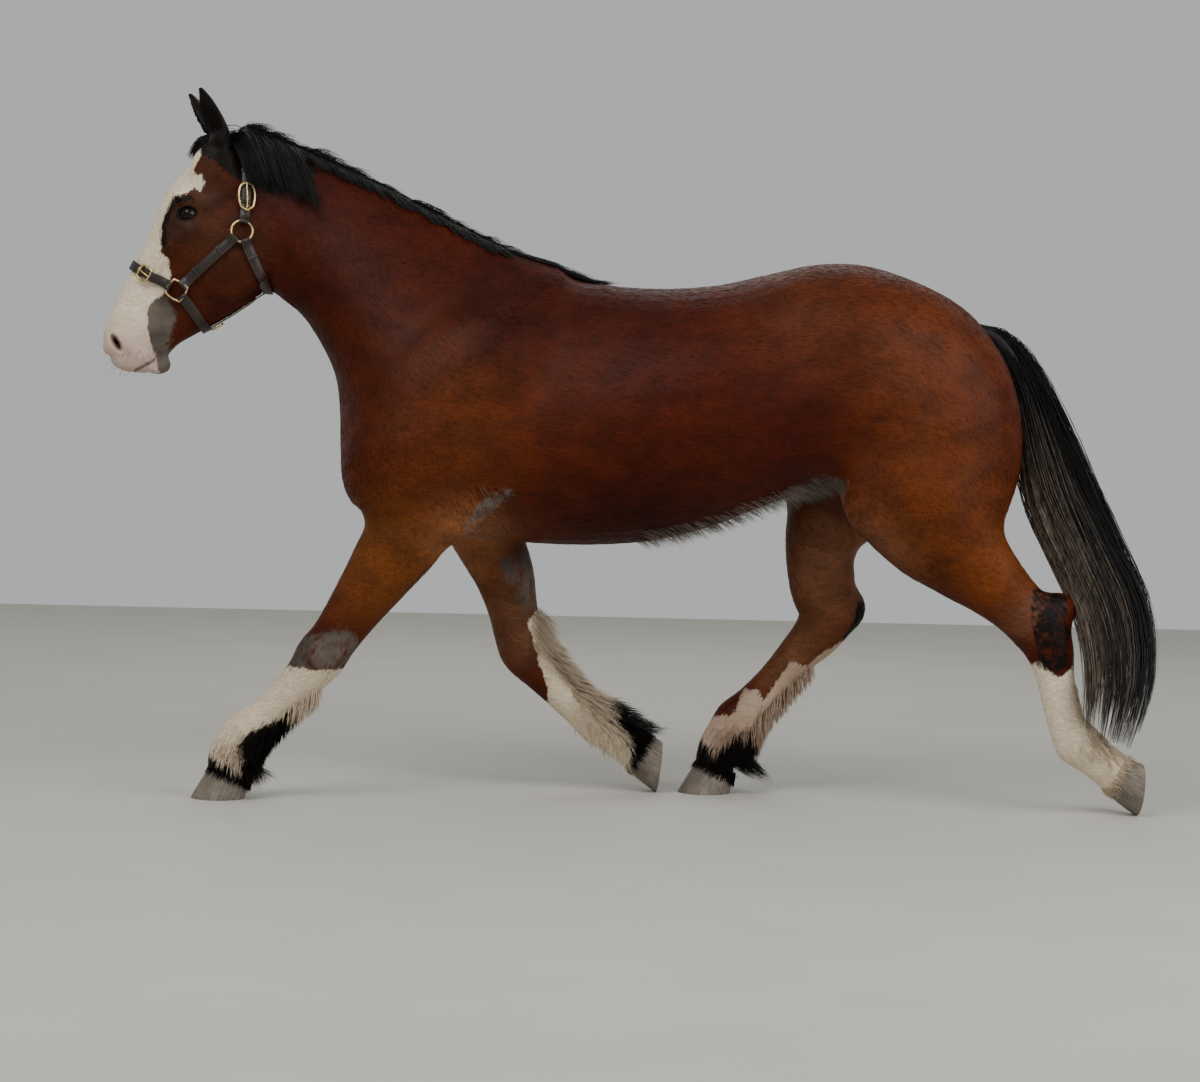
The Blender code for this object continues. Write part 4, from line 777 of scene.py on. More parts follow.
def noise(tree, size_mm, stretch=(1, 1, 1), detail=3.0, turn=(0, 0, 0)):
    """Noise on Object coordinates with features of about this size in millimetres."""
    place = add(tree, "ShaderNodeTexCoord").outputs["Object"]
    mapping = add(tree, "ShaderNodeMapping", {"Vector": place, "Scale": stretch, "Rotation": turn})
    links = {"Vector": mapping.outputs["Vector"], "Scale": 1000 / size_mm, "Detail": detail}
    return add(tree, "ShaderNodeTexNoise", links).outputs["Fac"]


def paint(tree, shader, colour, roughness=None, bump=None, bump_mm=0.3):
    """Links a shader's colour, its roughness, given as (value, low, high, to_low, to_high), and its bump."""
    tree.links.new(colour, shader.inputs["Base Color"])
    if roughness:
        tree.links.new(faded(tree, *roughness), shader.inputs["Roughness"])
    if bump:
        height = add(tree, "ShaderNodeBump", {"Height": bump, "Distance": bump_mm / 1000, "Strength": 1.0})
        tree.links.new(height.outputs["Normal"], shader.inputs["Normal"])


# %% [markdown]
# ### Horse coat
# Summer coat: hairs about 10 mm long and 0.1 mm wide, lying flat and back along the body, oily
# enough to shine softly. What the eye sees is streaks a few millimetres wide, a slow change of
# colour, and ragged edges where white hair meets brown. One node group gives the colour, so the
# skin, the tufts and the feather all carry the same marks.

# %% The group that colours the coat
coat_group = group = bpy.data.node_groups.new("coat colour", "ShaderNodeTree")
group.interface.new_socket("Color", in_out="OUTPUT", socket_type="NodeSocketColor")
group.interface.new_socket("Streak", in_out="OUTPUT", socket_type="NodeSocketFloat")
marks = {name: stored(group, name) for name in ("white", "dark", "grey", "bare", "deep", "dusty")}
FLOW_TURN = (0, math.radians(20), 0)  # the hair lies back and a little down
streak = noise(group, 5, (0.25, 1, 1), 4, FLOW_TURN)
patch = noise(group, 60, (0.7, 1, 1), 3, FLOW_TURN)
ragged = noise(group, 22, (0.6, 1, 0.35), 5)
fine_ragged = noise(group, 6, (0.5, 1, 0.35), 3)


def marked(colour, kind, over, reach, edge):
    """The colour inside a kind of mark, whose edge noise moves by the reach, in metres."""
    shift = calc(group, "MULTIPLY_ADD", calc(group, "ADD", ragged, fine_ragged), reach, -reach)
    return mixed(group, (calc(group, "ADD", marks[kind], shift), -edge, edge), colour, over)


shade = faded(group, patch, 0.30, 0.70, 0.78, 1.22)
shade = calc(group, "MULTIPLY", shade, faded(group, streak, 0.25, 0.75, 0.80, 1.20))
scaled = {0: stored(group, "tone", "Color"), "Scale": shade}
brown = add(group, "ShaderNodeVectorMath", scaled, operation="SCALE").outputs[0]
white = mixed(group, (streak, 0.30, 0.70), "#cdba9f", "#e5d6bd")
white = mixed(group, (ragged, 0.60, 0.85, 0.0, 0.8), white, "#9a8a76")
white = mixed(group, marks["dusty"], white, mixed(group, (patch, 0.35, 0.65), "#8a6a55", "#a5897a"))
white = mixed(group, marks["bare"], white, mixed(group, (patch, 0.35, 0.65), "#b4988b", "#c4ada1"))
colour = marked(brown, "grey", mixed(group, (patch, 0.3, 0.7), "#453e38", "#655c53"), 0.034, 0.010)
colour = marked(colour, "white", white, 0.016, 0.003)
colour = marked(colour, "dark", mixed(group, (streak, 0.3, 0.7), "#080504", "#160f0c"), 0.022, 0.005)
# Near-black where deep: the dark lid skin, and painted shade in the nostrils and along the mouth line
colour = mixed(group, marks["deep"], colour, "#0d0807")
add(group, "NodeGroupOutput", {"Color": colour, "Streak": streak})


def coat_material(name, roughness, shine):
    material, tree, shader = new_material(name, Specular_IOR_Level=shine, IOR=1.45)
    coat = add(tree, "ShaderNodeGroup", node_tree=coat_group).outputs
    hairs = noise(tree, 1.6, (0.15, 1, 1), 2, FLOW_TURN)
    paint(tree, shader, coat["Color"], (coat["Streak"], 0.2, 0.8, roughness - 0.07, roughness + 0.07), hairs, 0.35)
    return material


skin_coat = coat_material("short summer coat of a bay horse", 0.46, 0.12)
tuft_coat = coat_material("tufts of a bay horse's coat", 0.48, 0.11)
skin.data.materials.append(skin_coat)
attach(skin, "root")
flesh_nodes = [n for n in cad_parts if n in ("torso", "neck", "head") or n.startswith("ear_") or "leg_" in n]
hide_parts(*flesh_nodes)
print("the skin stands for", len(flesh_nodes), "nodes")

# %% [markdown]
# ## Geometry Nodes, for what repeats
# A tree is built here by the script, has named inputs, and works on a small mesh that the script
# gives it. Its result is kept as a plain mesh, so nothing is left to be worked out again.

# %% Trees and their results
def new_geometry_tree(name, **sockets):
    """A Geometry Nodes tree with named inputs: for each its socket type and default."""
    tree = bpy.data.node_groups.new(name, "GeometryNodeTree")
    for way in ("INPUT", "OUTPUT"):
        tree.interface.new_socket("Geometry", in_out=way, socket_type="NodeSocketGeometry")
    for label, (kind, default) in sockets.items():
        socket = tree.interface.new_socket(label, in_out="INPUT", socket_type="NodeSocket" + kind)
        if default is not None:
            socket.default_value = default
    return tree, add(tree, "NodeGroupInput").outputs


def named(tree, name, kind="FLOAT"):
    """A value that the geometry carries."""
    return add(tree, "GeometryNodeInputNamedAttribute", {"Name": name}, data_type=kind).outputs["Attribute"]


def realized(tree, made, material):
    """Ends a tree: instances become mesh, shaded smooth, with one material."""
    for kind in ("RealizeInstances", "SetShadeSmooth"):
        made = add(tree, "GeometryNode" + kind, {"Geometry": made}).outputs[0]
    made = add(tree, "GeometryNodeSetMaterial", {"Geometry": made, "Material": material}).outputs[0]
    add(tree, "NodeGroupOutput", {"Geometry": made})
    print(tree.name + ":", len(tree.nodes), "nodes")


def with_nodes(obj, tree, name, **inputs):
    """The plain mesh that a tree makes of the object, whose inputs are set by their identifiers."""
    modifier = obj.modifiers.new(name, "NODES")
    modifier.node_group = tree
    labels = {item.name: item.identifier for item in tree.interface.items_tree if item.in_out == "INPUT"}
    for label, value in inputs.items():
        modifier[labels[label]] = value
    mesh = evaluated_mesh(obj)
    mesh.name = name
    bpy.data.objects.remove(obj)
    return linked(name, mesh)


def guide_object(paths, values):
    """Lines as points and edges only: an array of lines by points by 3, and values for each point."""
    paths = np.asarray(paths)
    count, steps = paths.shape[:2]
    mesh = bpy.data.meshes.new("guide")
    mesh.vertices.add(count * steps)
    mesh.vertices.foreach_set("co", paths.astype(np.float32).ravel())
    first = (np.arange(count)[:, None] * steps + np.arange(steps - 1)).ravel()
    mesh.edges.add(len(first))
    mesh.edges.foreach_set("vertices", np.stack([first, first + 1], 1).astype(np.int32).ravel())
    give(mesh, values)
    return linked("guide", mesh)


def finished(obj, material, slot, *nodes):
    """Gives a piece its material, its place on the body and the solids that it stands for."""
    if material is not None:
        obj.data.materials.clear()
        obj.data.materials.append(material)
    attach(obj, "root")
    if nodes:
        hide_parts(*nodes)
    print(obj.name, triangles_in(obj), "triangles")
    return obj


# %% [markdown]
# ## Eyes
# A horse's eye is large, dark and set at the side: a brown iris round a level oval pupil, under a
# clear cornea that bulges a little and takes the sharpest highlight of the whole animal.

# %% Eyeballs
CORNEA, CORNEA_BULGE = math.radians(44), 0.0013


def eyeball(name, side):
    """A ball turned round the way the eye looks, which stores how far each point is from its middle."""
    centre, out = eye_at(side)
    out = unit(out)
    across = unit(np.cross(EYE_UP, out))
    up = np.cross(out, across)
    rings = []
    turn = np.linspace(0, 2 * math.pi, 48, endpoint=False)[:, None]
    for angle in np.radians([*np.linspace(0.5, 60, 26), *np.linspace(66, 150, 12)]):
        bulge = CORNEA_BULGE * max(0.0, math.cos(min(angle / CORNEA, 1) * math.pi / 2)) ** 0.8
        way = out * math.cos(angle) + (across * np.cos(turn) + up * np.sin(turn)) * math.sin(angle)
        rings.append(centre + way * (EYE_RADIUS - 0.0002 + bulge))
    ball = form_object(name, loft(rings))
    way = unit(vectors(ball.data.vertices, "co") - centre)
    give(ball.data, {"look": np.stack([way @ across, way @ up, way @ out], 1)})
    return ball


# Horse eye: clear cornea over a very dark brown iris with a darker rim, and a blue-black pupil.
eye_paint, tree, shader = new_material("wet dark horse eye", Roughness=0.05, IOR=1.36, Specular_IOR_Level=0.40)
look = stored(tree, "look", "Vector")
from_middle = calc_vector(tree, "LENGTH", calc_vector(tree, "MULTIPLY", look, (1, 1, 0)))
pupil = calc_vector(tree, "LENGTH", calc_vector(tree, "MULTIPLY", look, (1 / 0.40, 1 / 0.20, 0)))
fibres = noise(tree, 1.1)
iris = mixed(tree, (fibres, 0.35, 0.65), "#0c0604", "#1d0f08")
iris = mixed(tree, (from_middle, 0.52, 0.68), iris, "#070403")
white = mixed(tree, (fibres, 0.40, 0.70), "#231a17", "#3a2d28")
inner = mixed(tree, (pupil, 0.85, 1.05), "#020306", iris)
paint(tree, shader, mixed(tree, (from_middle, 0.70, 0.80), inner, white))
for name, side in (("left", LEFT), ("right", RIGHT)):
    finished(eyeball("eyeball_" + name, side), eye_paint, "eye", "eye_" + name)

# %% [markdown]
# ## Hooves
# Horn grows down in rings from the coronet, so the wall is banded across and finely streaked down.
# The sole is hollow, with the frog as a wedge from the heel. A raised hoof rests on its toe.

# %% Hooves
TOE_TO_MIDDLE = np.array((HOOF_LENGTH / 2, 0, 0))


def sole_height(x, y):
    """How high the sole is over the ground at a place measured from the toe: hollow, with the frog in it."""
    rim = np.hypot((x / HOOF_LENGTH - 0.5) * 2, y / (HOOF_WIDTH / 2))
    hollow = 0.010 * np.clip(1 - rim / 0.84, 0, 1) ** 0.5
    wide = np.interp(x / HOOF_LENGTH, (0.30, 0.95), (0.0, 0.024))
    frog = np.clip((wide - np.abs(y)) / 0.004, 0, 1) * (x / HOOF_LENGTH > 0.30)
    groove = 0.005 * np.exp(-(((np.abs(y) - wide - 0.004) / 0.004) ** 2)) * (x / HOOF_LENGTH > 0.34)
    return hollow * (1 - 0.85 * frog) + groove * (rim < 0.86)


def hoof_piece(name):
    sides, rings, levels = 72, [], []
    turn = np.arange(sides) * 2 * math.pi / sides
    heel = 1 - 0.09 * np.exp(-(((turn - math.pi) / 0.22) ** 2)) - 0.015 * np.cos(2 * turn)
    for share in np.linspace(0, 1, 34):
        tilt = math.radians(CORONET_TILT * (1 - share))
        middle = np.array((CORONET_SET_BACK, 0, CORONET_LEVEL)) * (1 - share) + TOE_TO_MIDDLE * share
        length = (CORONET_LENGTH + (HOOF_LENGTH - CORONET_LENGTH) * share) / 2
        width = (CORONET_WIDTH + (HOOF_WIDTH - CORONET_WIDTH) * share) / 2
        grow = np.interp(share, (0, 0.07, 0.5, 1), (0.93, 0.99, 0.985, 0.985))
        grow += 0.0018 * math.sin(share * 44) + 0.003 * math.sin(share * 17 + 1)
        shape = egg_ring((0, 0, 0), (-math.cos(tilt), 0, math.sin(tilt)), length * grow, width * grow, 0.0, sides)
        rings.append(middle + shape * heel[:, None])
        levels.append(share)
    rim = rings[-1] - TOE_TO_MIDDLE
    for inner in (0.965, 0.93, 0.88, 0.82, 0.74, 0.64, 0.52, 0.40, 0.27, 0.14):
        ring = rim * inner + TOE_TO_MIDDLE
        ring[:, 2] = sole_height(ring[:, 0], ring[:, 1]) + (0.0005 if inner < 0.95 else 0)
        rings.append(ring)
        levels.append(1.3)
    hoof = form_object("hoof_" + name, loft(rings))
    place = np.array(hoof_frame(name))
    level = np.append(np.repeat(levels, sides), (0, 1.3))
    round_it = np.tile(np.stack([np.cos(turn), np.sin(turn)], 1), (len(rings), 1)) * 0.055
    own = np.column_stack([np.vstack([round_it, np.zeros((2, 2))]), 0.08 * level])
    give(hoof.data, {"level": level, "own": own})
    points = vectors(hoof.data.vertices, "co") @ place[:3, :3].T + place[:3, 3]
    points[:, 2] = np.maximum(points[:, 2], 0)
    hoof.data.vertices.foreach_set("co", points.astype(np.float32).ravel())
    hoof.data.update()
    return hoof


# Hoof horn: grey-brown and dull, with dusty bands of growth, darker below the coronet and on the sole.
horn, tree, shader = new_material("grey hoof horn with dust", IOR=1.5)
level = stored(tree, "level")
stretched = calc_vector(tree, "MULTIPLY", stored(tree, "own", "Vector"), (900, 900, 60))
streaks = add(tree, "ShaderNodeTexNoise", {"Vector": stretched, "Scale": 0.35, "Detail": 3.0}).outputs["Fac"]
dust = noise(tree, 26, detail=5)
band = calc(tree, "SINE", calc(tree, "MULTIPLY", level, 52.0))
wall = mixed(tree, (streaks, 0.35, 0.68), "#5a5148", "#7a7065")
wall = mixed(tree, (band, -0.2, 1.0, 0.0, 0.14), wall, "#8f8577")
wall = mixed(tree, (level, 0.30, 0.0, 0.0, 0.65), wall, "#352d28")
wall = mixed(tree, (dust, 0.48, 0.75, 0.0, 0.55), wall, "#93856f")
under = mixed(tree, (dust, 0.35, 0.65), "#3d352d", "#6d6151")
paint(tree, shader, mixed(tree, (level, 1.02, 1.2), wall, under), (dust, 0.3, 0.7, 0.42, 0.75), streaks, 0.35)
for name in LEGS:
    end, side = name.split("leg_")
    finished(hoof_piece(name), horn, "horn", f"{end}hoof_{side}")

# %% [markdown]
# ## Headcollar
# Seven leather straps 24 mm wide lie on the skin. Each is one band that runs from ring to ring, goes
# round the wire of the ring at each end and comes back beneath itself. Rings and buckles are brass.

# %% Guide points of the straps and places of the rings, on the left side
STRAP_WIDTH, STRAP_THICKNESS = 0.024, 0.0021
UNDER_LIFT, TOP_LIFT, RING_LIFT, WIRE = 0.0056, 0.0078, 0.0140, 0.0029
CHEEK_REACH, NOSE_REACH = 0.0235, 0.0200  # how far the wire is from the middle of its ring
CHEEK_RING, NOSE_RING = (-0.966, -0.110, 1.384), (-1.124, -0.080, 1.237)
CROWN = (CHEEK_RING, (-0.958, -0.105, 1.43), (-0.955, -0.10, 1.48), (-0.955, -0.09, 1.55), (-0.957, -0.05, 1.63))
THROAT = (CHEEK_RING, (-0.950, -0.105, 1.345), (-0.928, -0.09, 1.295), (-0.910, -0.05, 1.250))
CHEEK = (CHEEK_RING, (-1.018, -0.105, 1.336), (-1.072, -0.095, 1.285), NOSE_RING)
NOSE = (NOSE_RING, (-1.170, -0.070, 1.262), (-1.213, -0.055, 1.282), (-1.243, -0.025, 1.300))
CHIN = (NOSE_RING, (-1.098, -0.075, 1.205), (-1.068, -0.050, 1.165))
JAW = ((-1.052, 0, 1.150), (-1.010, 0, 1.172), (-0.960, 0, 1.200), (-0.908, 0, 1.238))
JAW_SINK = 0.0048  # it lies closer, up between the jaw bones


def both_sides(guide, middle):
    return [*guide, middle, *[mirrored(p) for p in reversed(guide)]]


STRAPS = {  # guide points, how far the wires are at its ends, and shares of its length with a keeper
    "crown": (both_sides(CROWN, (-0.958, 0, 1.65)), CHEEK_REACH, CHEEK_REACH, 0.085, 0.245),
    "throat": (both_sides(THROAT, (-0.905, 0, 1.240)), CHEEK_REACH, CHEEK_REACH, 0.10, 0.90),
    "cheek_left": (CHEEK, CHEEK_REACH, NOSE_REACH, 0.25, 0.75),
    "cheek_right": ([mirrored(p) for p in CHEEK], CHEEK_REACH, NOSE_REACH, 0.25, 0.75),
    "nose": (both_sides(NOSE, (-1.252, 0, 1.306)), NOSE_REACH, NOSE_REACH, 0.30),
    "chin": (both_sides(CHIN, (-1.055, 0, 1.145)), NOSE_REACH, NOSE_REACH), "jaw": (JAW, 0.0, 0.0),
}
RINGS = {  # place, half length, half width, 1 for round and 0 for square, turn in degrees
    "cheek_left": (CHEEK_RING, 0.026, 0.026, 1.0, 0), "cheek_right": (mirrored(CHEEK_RING), 0.026, 0.026, 1.0, 0),
    "nose_left": (NOSE_RING, 0.0225, 0.0225, 0.25, 32),
    "nose_right": (mirrored(NOSE_RING), 0.0225, 0.0225, 0.25, -32),
    "crown_buckle": ((-0.955, -0.100, 1.472), 0.033, 0.0200, 0.75, 0),
    "nose_buckle": ((-1.206, -0.058, 1.278), 0.0180, 0.0175, 0.25, 32),
    "chin_ring": ((-1.032, 0.0, 1.160), 0.016, 0.016, 1.0, 0),
}


# %% Bands on the skin
def on_skin(point, lift=0.0):
    place, normal, _, _ = skin_tree.find_nearest(Vector(point))
    return np.array(place + normal * lift), np.array(normal)


def smoothed(values, times):
    """The values with each one between its neighbours, and the ends held."""
    for _ in range(times):
        values[1:-1] = (values[:-2] + 2 * values[1:-1] + values[2:]) / 4
    return values


def laid(guide, steps=10):
    """A smooth line on the skin along guide points, with the way out of the skin at each point."""
    path = smoothed(np.array([on_skin(p)[0] for p in spline(guide, steps)]), 14)
    outs = []
    for i, p in enumerate(path):
        place, normal = on_skin(p)
        path[i] = p + normal * max(0.0, (place - p) @ normal)
        outs.append(normal)
    return path, unit(smoothed(np.array(outs), 10))


def band(path, sides, width=STRAP_WIDTH, thick=STRAP_THICKNESS):
    """A flat closed band with eased edges: a form, and where across the band each point is."""
    path, sides = np.array(path), unit(np.array(sides))
    ups = unit(np.cross(sides, unit(np.gradient(path, axis=0))))
    w, t = width / 2, thick / 2
    profile = ((w, 0.5 * t), (w - 0.6 * t, t), (0.9 * w - t, t), (0.88 * w - t, 0.82 * t), (0.86 * w - t, t), (0, t))
    profile = [*profile, *[(-a, b) for a, b in reversed(profile[:-1])]]
    profile = np.array([*profile, *[(a, -b) for a, b in reversed(profile)]])
    rings = [p + side * profile[:, :1] + up * profile[:, 1:] for p, side, up in zip(path, sides, ups)]
    return loft(rings), np.append(np.tile(profile[:, 0] / w, len(path)), (0, 0))


ROUND_WIRE = WIRE + STRAP_THICKNESS / 2 + 0.0002


def wrapped(path, outs, start, end):
    """The course of a strap between two rings, round their wires and back beneath, with its sideways ways."""
    ways = unit(np.gradient(path, axis=0))
    run = np.concatenate([[0], np.cumsum(np.linalg.norm(np.diff(path, axis=0), axis=1))])
    stop = run[-1] - end
    course, sides = [], []

    def at(d):
        place, out, way = (np.array([np.interp(d, run, v[:, k]) for k in range(3)]) for v in (path, outs, ways))
        return place, unit(out), unit(way)

    def put(d, lift, shift=0.0):
        place, out, way = at(d)
        course.append(place + out * lift + way * shift)
        sides.append(np.cross(way, out))

    def put_beneath(d, back):
        rise = RING_LIFT - ROUND_WIRE - UNDER_LIFT
        put(d, UNDER_LIFT + rise * max(0, 1 - back / 0.022) ** 1.5)

    if start:
        for back in np.linspace(0.028, 0.006, 8):
            put_beneath(start + back, back)
        for turn in np.radians(np.linspace(275, 85, 13)):
            put(start, RING_LIFT + ROUND_WIRE * math.sin(turn), ROUND_WIRE * math.cos(turn))
    first, last = start + (0.005 if start else 0), stop - (0.005 if end else 0)
    for d in np.linspace(first, last, max(8, int((stop - start) / 0.0045))):
        near = min(d - start if start else 1, stop - d if end else 1)
        put(d, TOP_LIFT + (RING_LIFT + ROUND_WIRE - TOP_LIFT) * max(0, 1 - near / 0.020) ** 1.6)
    if end:
        for turn in np.radians(np.linspace(85, 275, 13)):
            put(stop, RING_LIFT + ROUND_WIRE * math.sin(turn), -ROUND_WIRE * math.cos(turn))
        for back in np.linspace(0.006, 0.028, 8):
            put_beneath(stop - back, back)
    return np.array(course), np.array(sides), [at(d) for d in np.linspace(start + 0.008, stop - 0.008, 60)]


def keeper(place, out, way):
    """A narrow loop round the strap."""
    turn = np.linspace(-2.4, 2 * math.pi - 2.2, 30)
    square = 1 / np.maximum(np.abs(np.cos(turn)), np.abs(np.sin(turn))) ** 0.75
    loop = place + out * (TOP_LIFT - 0.0004) + np.cross(way, out) * (np.cos(turn) * square * 0.0134)[:, None]
    loop = loop + out * (np.sin(turn) * square * 0.0030)[:, None]
    return band(loop, np.tile(way, (30, 1)), 0.009, 0.0016)


def merged(forms):
    """Several forms as one, with their points one after another."""
    first = np.cumsum([0] + [len(points) for points, _, _ in forms])
    points, triangles, quads = zip(*[(p, t + i, q + i) for (p, t, q), i in zip(forms, first)])
    return np.vstack(points), np.vstack(triangles), np.vstack(quads)


bands, seams = [], []
for name, (guide, start, end, *keepers) in STRAPS.items():
    path, outs = laid(guide)
    if name == "jaw":
        path = path - outs * JAW_SINK
    course, sides, top = wrapped(path, outs, start, end)
    bands.append(band(course, sides))
    for side in (-1, 1):
        line = [p + n * (TOP_LIFT + STRAP_THICKNESS / 2) + np.cross(w, n) * side * 0.0092 for p, n, w in top]
        seams.append((np.array(line), np.array([n for _, n, _ in top])))
    bands += [keeper(*top[round(share * 59)]) for share in keepers]
straps = form_object("headcollar_straps", merged([form for form, _ in bands]))
give(straps.data, {"across": np.concatenate([across for _, across in bands])})

# %% [markdown]
# ### Rings, buckles and stitches
# The wire is turned round each ring's outline. A buckle's tongue is a tapered pin from the lower bar
# to the upper one. The stitches are one small Geometry Nodes tree along the seam lines.

# %% Rings and buckles
def on_ring(name, turn):
    """Points on the outline of a ring, and the way out of the skin there."""
    place, length, width, corner, angle = RINGS[name]
    centre, out = on_skin(place, RING_LIFT - 0.0050 * (name == "chin_ring"))
    up = unit(np.array((0, 0, 1.0)) - out * out[2]) if abs(out[2]) < 0.9 else unit(np.cross(out, (0, 1, 0)))
    along = np.cross(up, out)
    angle = math.radians(angle)
    up, along = up * math.cos(angle) + along * math.sin(angle), along * math.cos(angle) - up * math.sin(angle)
    c, s = np.cos(turn), np.sin(turn)
    reach = 1 + (1 - corner) * 0.85 * (1 / np.maximum(np.abs(c), np.abs(s)) ** 0.9 - 1)
    return centre + up * (length * c * reach)[..., None] + along * (width * s * reach)[..., None], out


def ring_form(name, around=72, section=14):
    wire = 0.0023 if name == "chin_ring" else WIRE
    points, out = on_ring(name, 2 * math.pi * np.arange(around) / around)
    outward = unit(np.cross(unit(np.roll(points, -1, 0) - np.roll(points, 1, 0)), out))
    a = 2 * math.pi * np.arange(section) / section
    wall = outward[:, None] * np.cos(a)[:, None] + out * np.sin(a)[:, None]
    grid = np.arange(around)[:, None] * section + np.arange(section)
    right, down = np.roll(grid, -1, 1), np.roll(grid, -1, 0)
    quads = np.stack([grid, right, np.roll(down, -1, 1), down], 2).reshape(-1, 4)
    return (points[:, None] + wall * wire).reshape(-1, 3), np.empty((0, 3), int), quads


def tongue_forms(name, angles):
    """A buckle's tapered pin from one place on its outline to another, and the roll at its root."""
    (low, high), out = on_ring(name, angles)
    pin = []
    for t in np.linspace(-0.02, 1.04, 12):
        pin.append(low + (high - low) * t + out * (0.0034 * math.sin(math.pi * min(1, t * 1.1)) + 0.0030 * t))
    way = unit(high - low)
    roll = [low - way * 0.0012 + np.cross(way, out) * w for w in np.linspace(-0.0055, 0.0055, 5)]
    return [tube_form(pin, np.linspace(0.0024, 0.0017, 12), 12), tube_form(roll, 0.0036, 14)]


metal = [ring_form(name) for name in RINGS]
metal += tongue_forms("crown_buckle", (math.pi, 0)) + tongue_forms("nose_buckle", (math.pi * 1.5, math.pi * 0.5))
brass_parts = form_object("headcollar_rings", merged(metal))

# %% Stitches along the seams
tree, inputs = new_geometry_tree(
    "stitches along seams", Spacing=("Float", 0.0036), Size=("Vector", None), Material=("Material", None))
stitch_tree = tree
seam = add(tree, "GeometryNodeMeshToCurve", {"Mesh": inputs["Geometry"]}).outputs[0]
seam = add(tree, "GeometryNodeResampleCurve", {"Curve": seam, "Length": inputs["Spacing"]}, mode="LENGTH").outputs[0]
tangent = add(tree, "GeometryNodeInputTangent").outputs[0]
axes = {"Primary Axis": named(tree, "out", "FLOAT_VECTOR"), "Secondary Axis": tangent}
turned = add(tree, "FunctionNodeAxesToRotation", axes).outputs[0]
bead = add(tree, "GeometryNodeMeshIcoSphere", {"Radius": 1.0, "Subdivisions": 1}).outputs["Mesh"]
threads = {"Points": seam, "Instance": bead, "Rotation": turned, "Scale": inputs["Size"]}
realized(tree, add(tree, "GeometryNodeInstanceOnPoints", threads).outputs[0], inputs["Material"])
guide = guide_object([line for line, _ in seams], {"out": np.vstack([outs for _, outs in seams])})

# %% Leather, thread and brass
# Bridle leather: near-black brown, waxed on the face, worn paler along the edges, with a fine grain.
leather, tree, shader = new_material("dark waxed bridle leather", IOR=1.5, Coat_Weight=0.15, Coat_Roughness=0.35)
edge = faded(tree, calc(tree, "ABSOLUTE", stored(tree, "across")), 0.86, 1.0)
grain, wear = noise(tree, 0.9, detail=4), noise(tree, 28)
worn = mixed(tree, (wear, 0.40, 0.70), "#0e0a09", "#2b1a14")
worn = mixed(tree, (grain, 0.35, 0.75, 0.0, 0.35), worn, "#3a261d")
paint(tree, shader, mixed(tree, edge, worn, "#37241b"), (grain, 0.3, 0.7, 0.36, 0.55), grain, 0.15)
# Waxed linen thread, a little paler than the leather.
thread_paint, tree, shader = new_material("waxed brown linen thread", Roughness=0.6)
paint(tree, shader, mixed(tree, noise(tree, 1.5, detail=2), "#2a1e17", "#4c3a2c"))
# Cast brass: pale gold, rubbed brighter in some patches and duller in others.
brass, tree, shader = new_material("rubbed pale brass", Metallic=1.0)
rub = noise(tree, 9, detail=4)
bright = mixed(tree, (rub, 0.35, 0.70), "#c7a868", "#e3cf9c")
paint(tree, shader, bright, (rub, 0.3, 0.7, 0.20, 0.36), noise(tree, 1.6, detail=2), 0.05)

stitch = {"Size": (0.0013, 0.00035, 0.0003), "Material": thread_paint}
stitches = with_nodes(guide, stitch_tree, "headcollar_stitches", **stitch)
finished(stitches, None, "leather")
straps_of = ("cheek_left", "cheek_right", "chin", "crown", "nose", "throat")
rings_of = ("ring_cheek_left", "ring_cheek_right", "ring_nose_left", "ring_nose_right", "buckle_crown", "buckle_nose")
finished(straps, leather, "leather", *["halter_" + name for name in straps_of])
finished(brass_parts, brass, "brass", *rings_of)

# %% [markdown]
# ## Long hair
# Mane, forelock, tail and feather are bundles of thousands of hairs. The unit here is a strand, a
# few millimetres wide, flat and tapered. Each piece of hair starts as guide lines, which are only
# points: one Geometry Nodes tree turns every line into a closed strand, so that a change of width or
# of section is a change in one place. A second mesh map puts each strand at its root's place.

# %% The strand tree
tree, inputs = new_geometry_tree(
    "strands along guide lines", Sides=("Int", 3), Flatness=("Float", 0.4), Material=("Material", None))
strand_tree = tree
lines = add(tree, "GeometryNodeMeshToCurve", {"Mesh": inputs["Geometry"]}).outputs[0]
circle = {"Resolution": inputs["Sides"], "Radius": 1.0}
section = add(tree, "GeometryNodeCurvePrimitiveCircle", circle).outputs["Curve"]
squash = add(tree, "ShaderNodeCombineXYZ", {"X": 1.0, "Y": inputs["Flatness"], "Z": 1.0}).outputs[0]
section = add(tree, "GeometryNodeTransform", {"Geometry": section, "Scale": squash}).outputs[0]
strands = {"Curve": lines, "Profile Curve": section, "Scale": named(tree, "thick"), "Fill Caps": True}
realized(tree, add(tree, "GeometryNodeCurveToMesh", strands).outputs[0], inputs["Material"])

# %% [markdown]
# ### Where a tuft is on the unwrapped skin
# The skin is unwrapped as a butcher would: the head, neck and trunk are one long roll round the line
# of the spine, and each leg is a roll of its own. A tuft's patch of the map is 3 mm of 1 m across.

# %% Unwrapping by place
SPINE = table("""
    -1250 1060, -1190 1180, -1100 1300, -1030 1420, -1000 1520, -940 1500, -820 1380, -660 1240, -450 1080,
    -200 980, 200 980, 550 1040, 900 980""")  # x, z
PATCH = 0.003


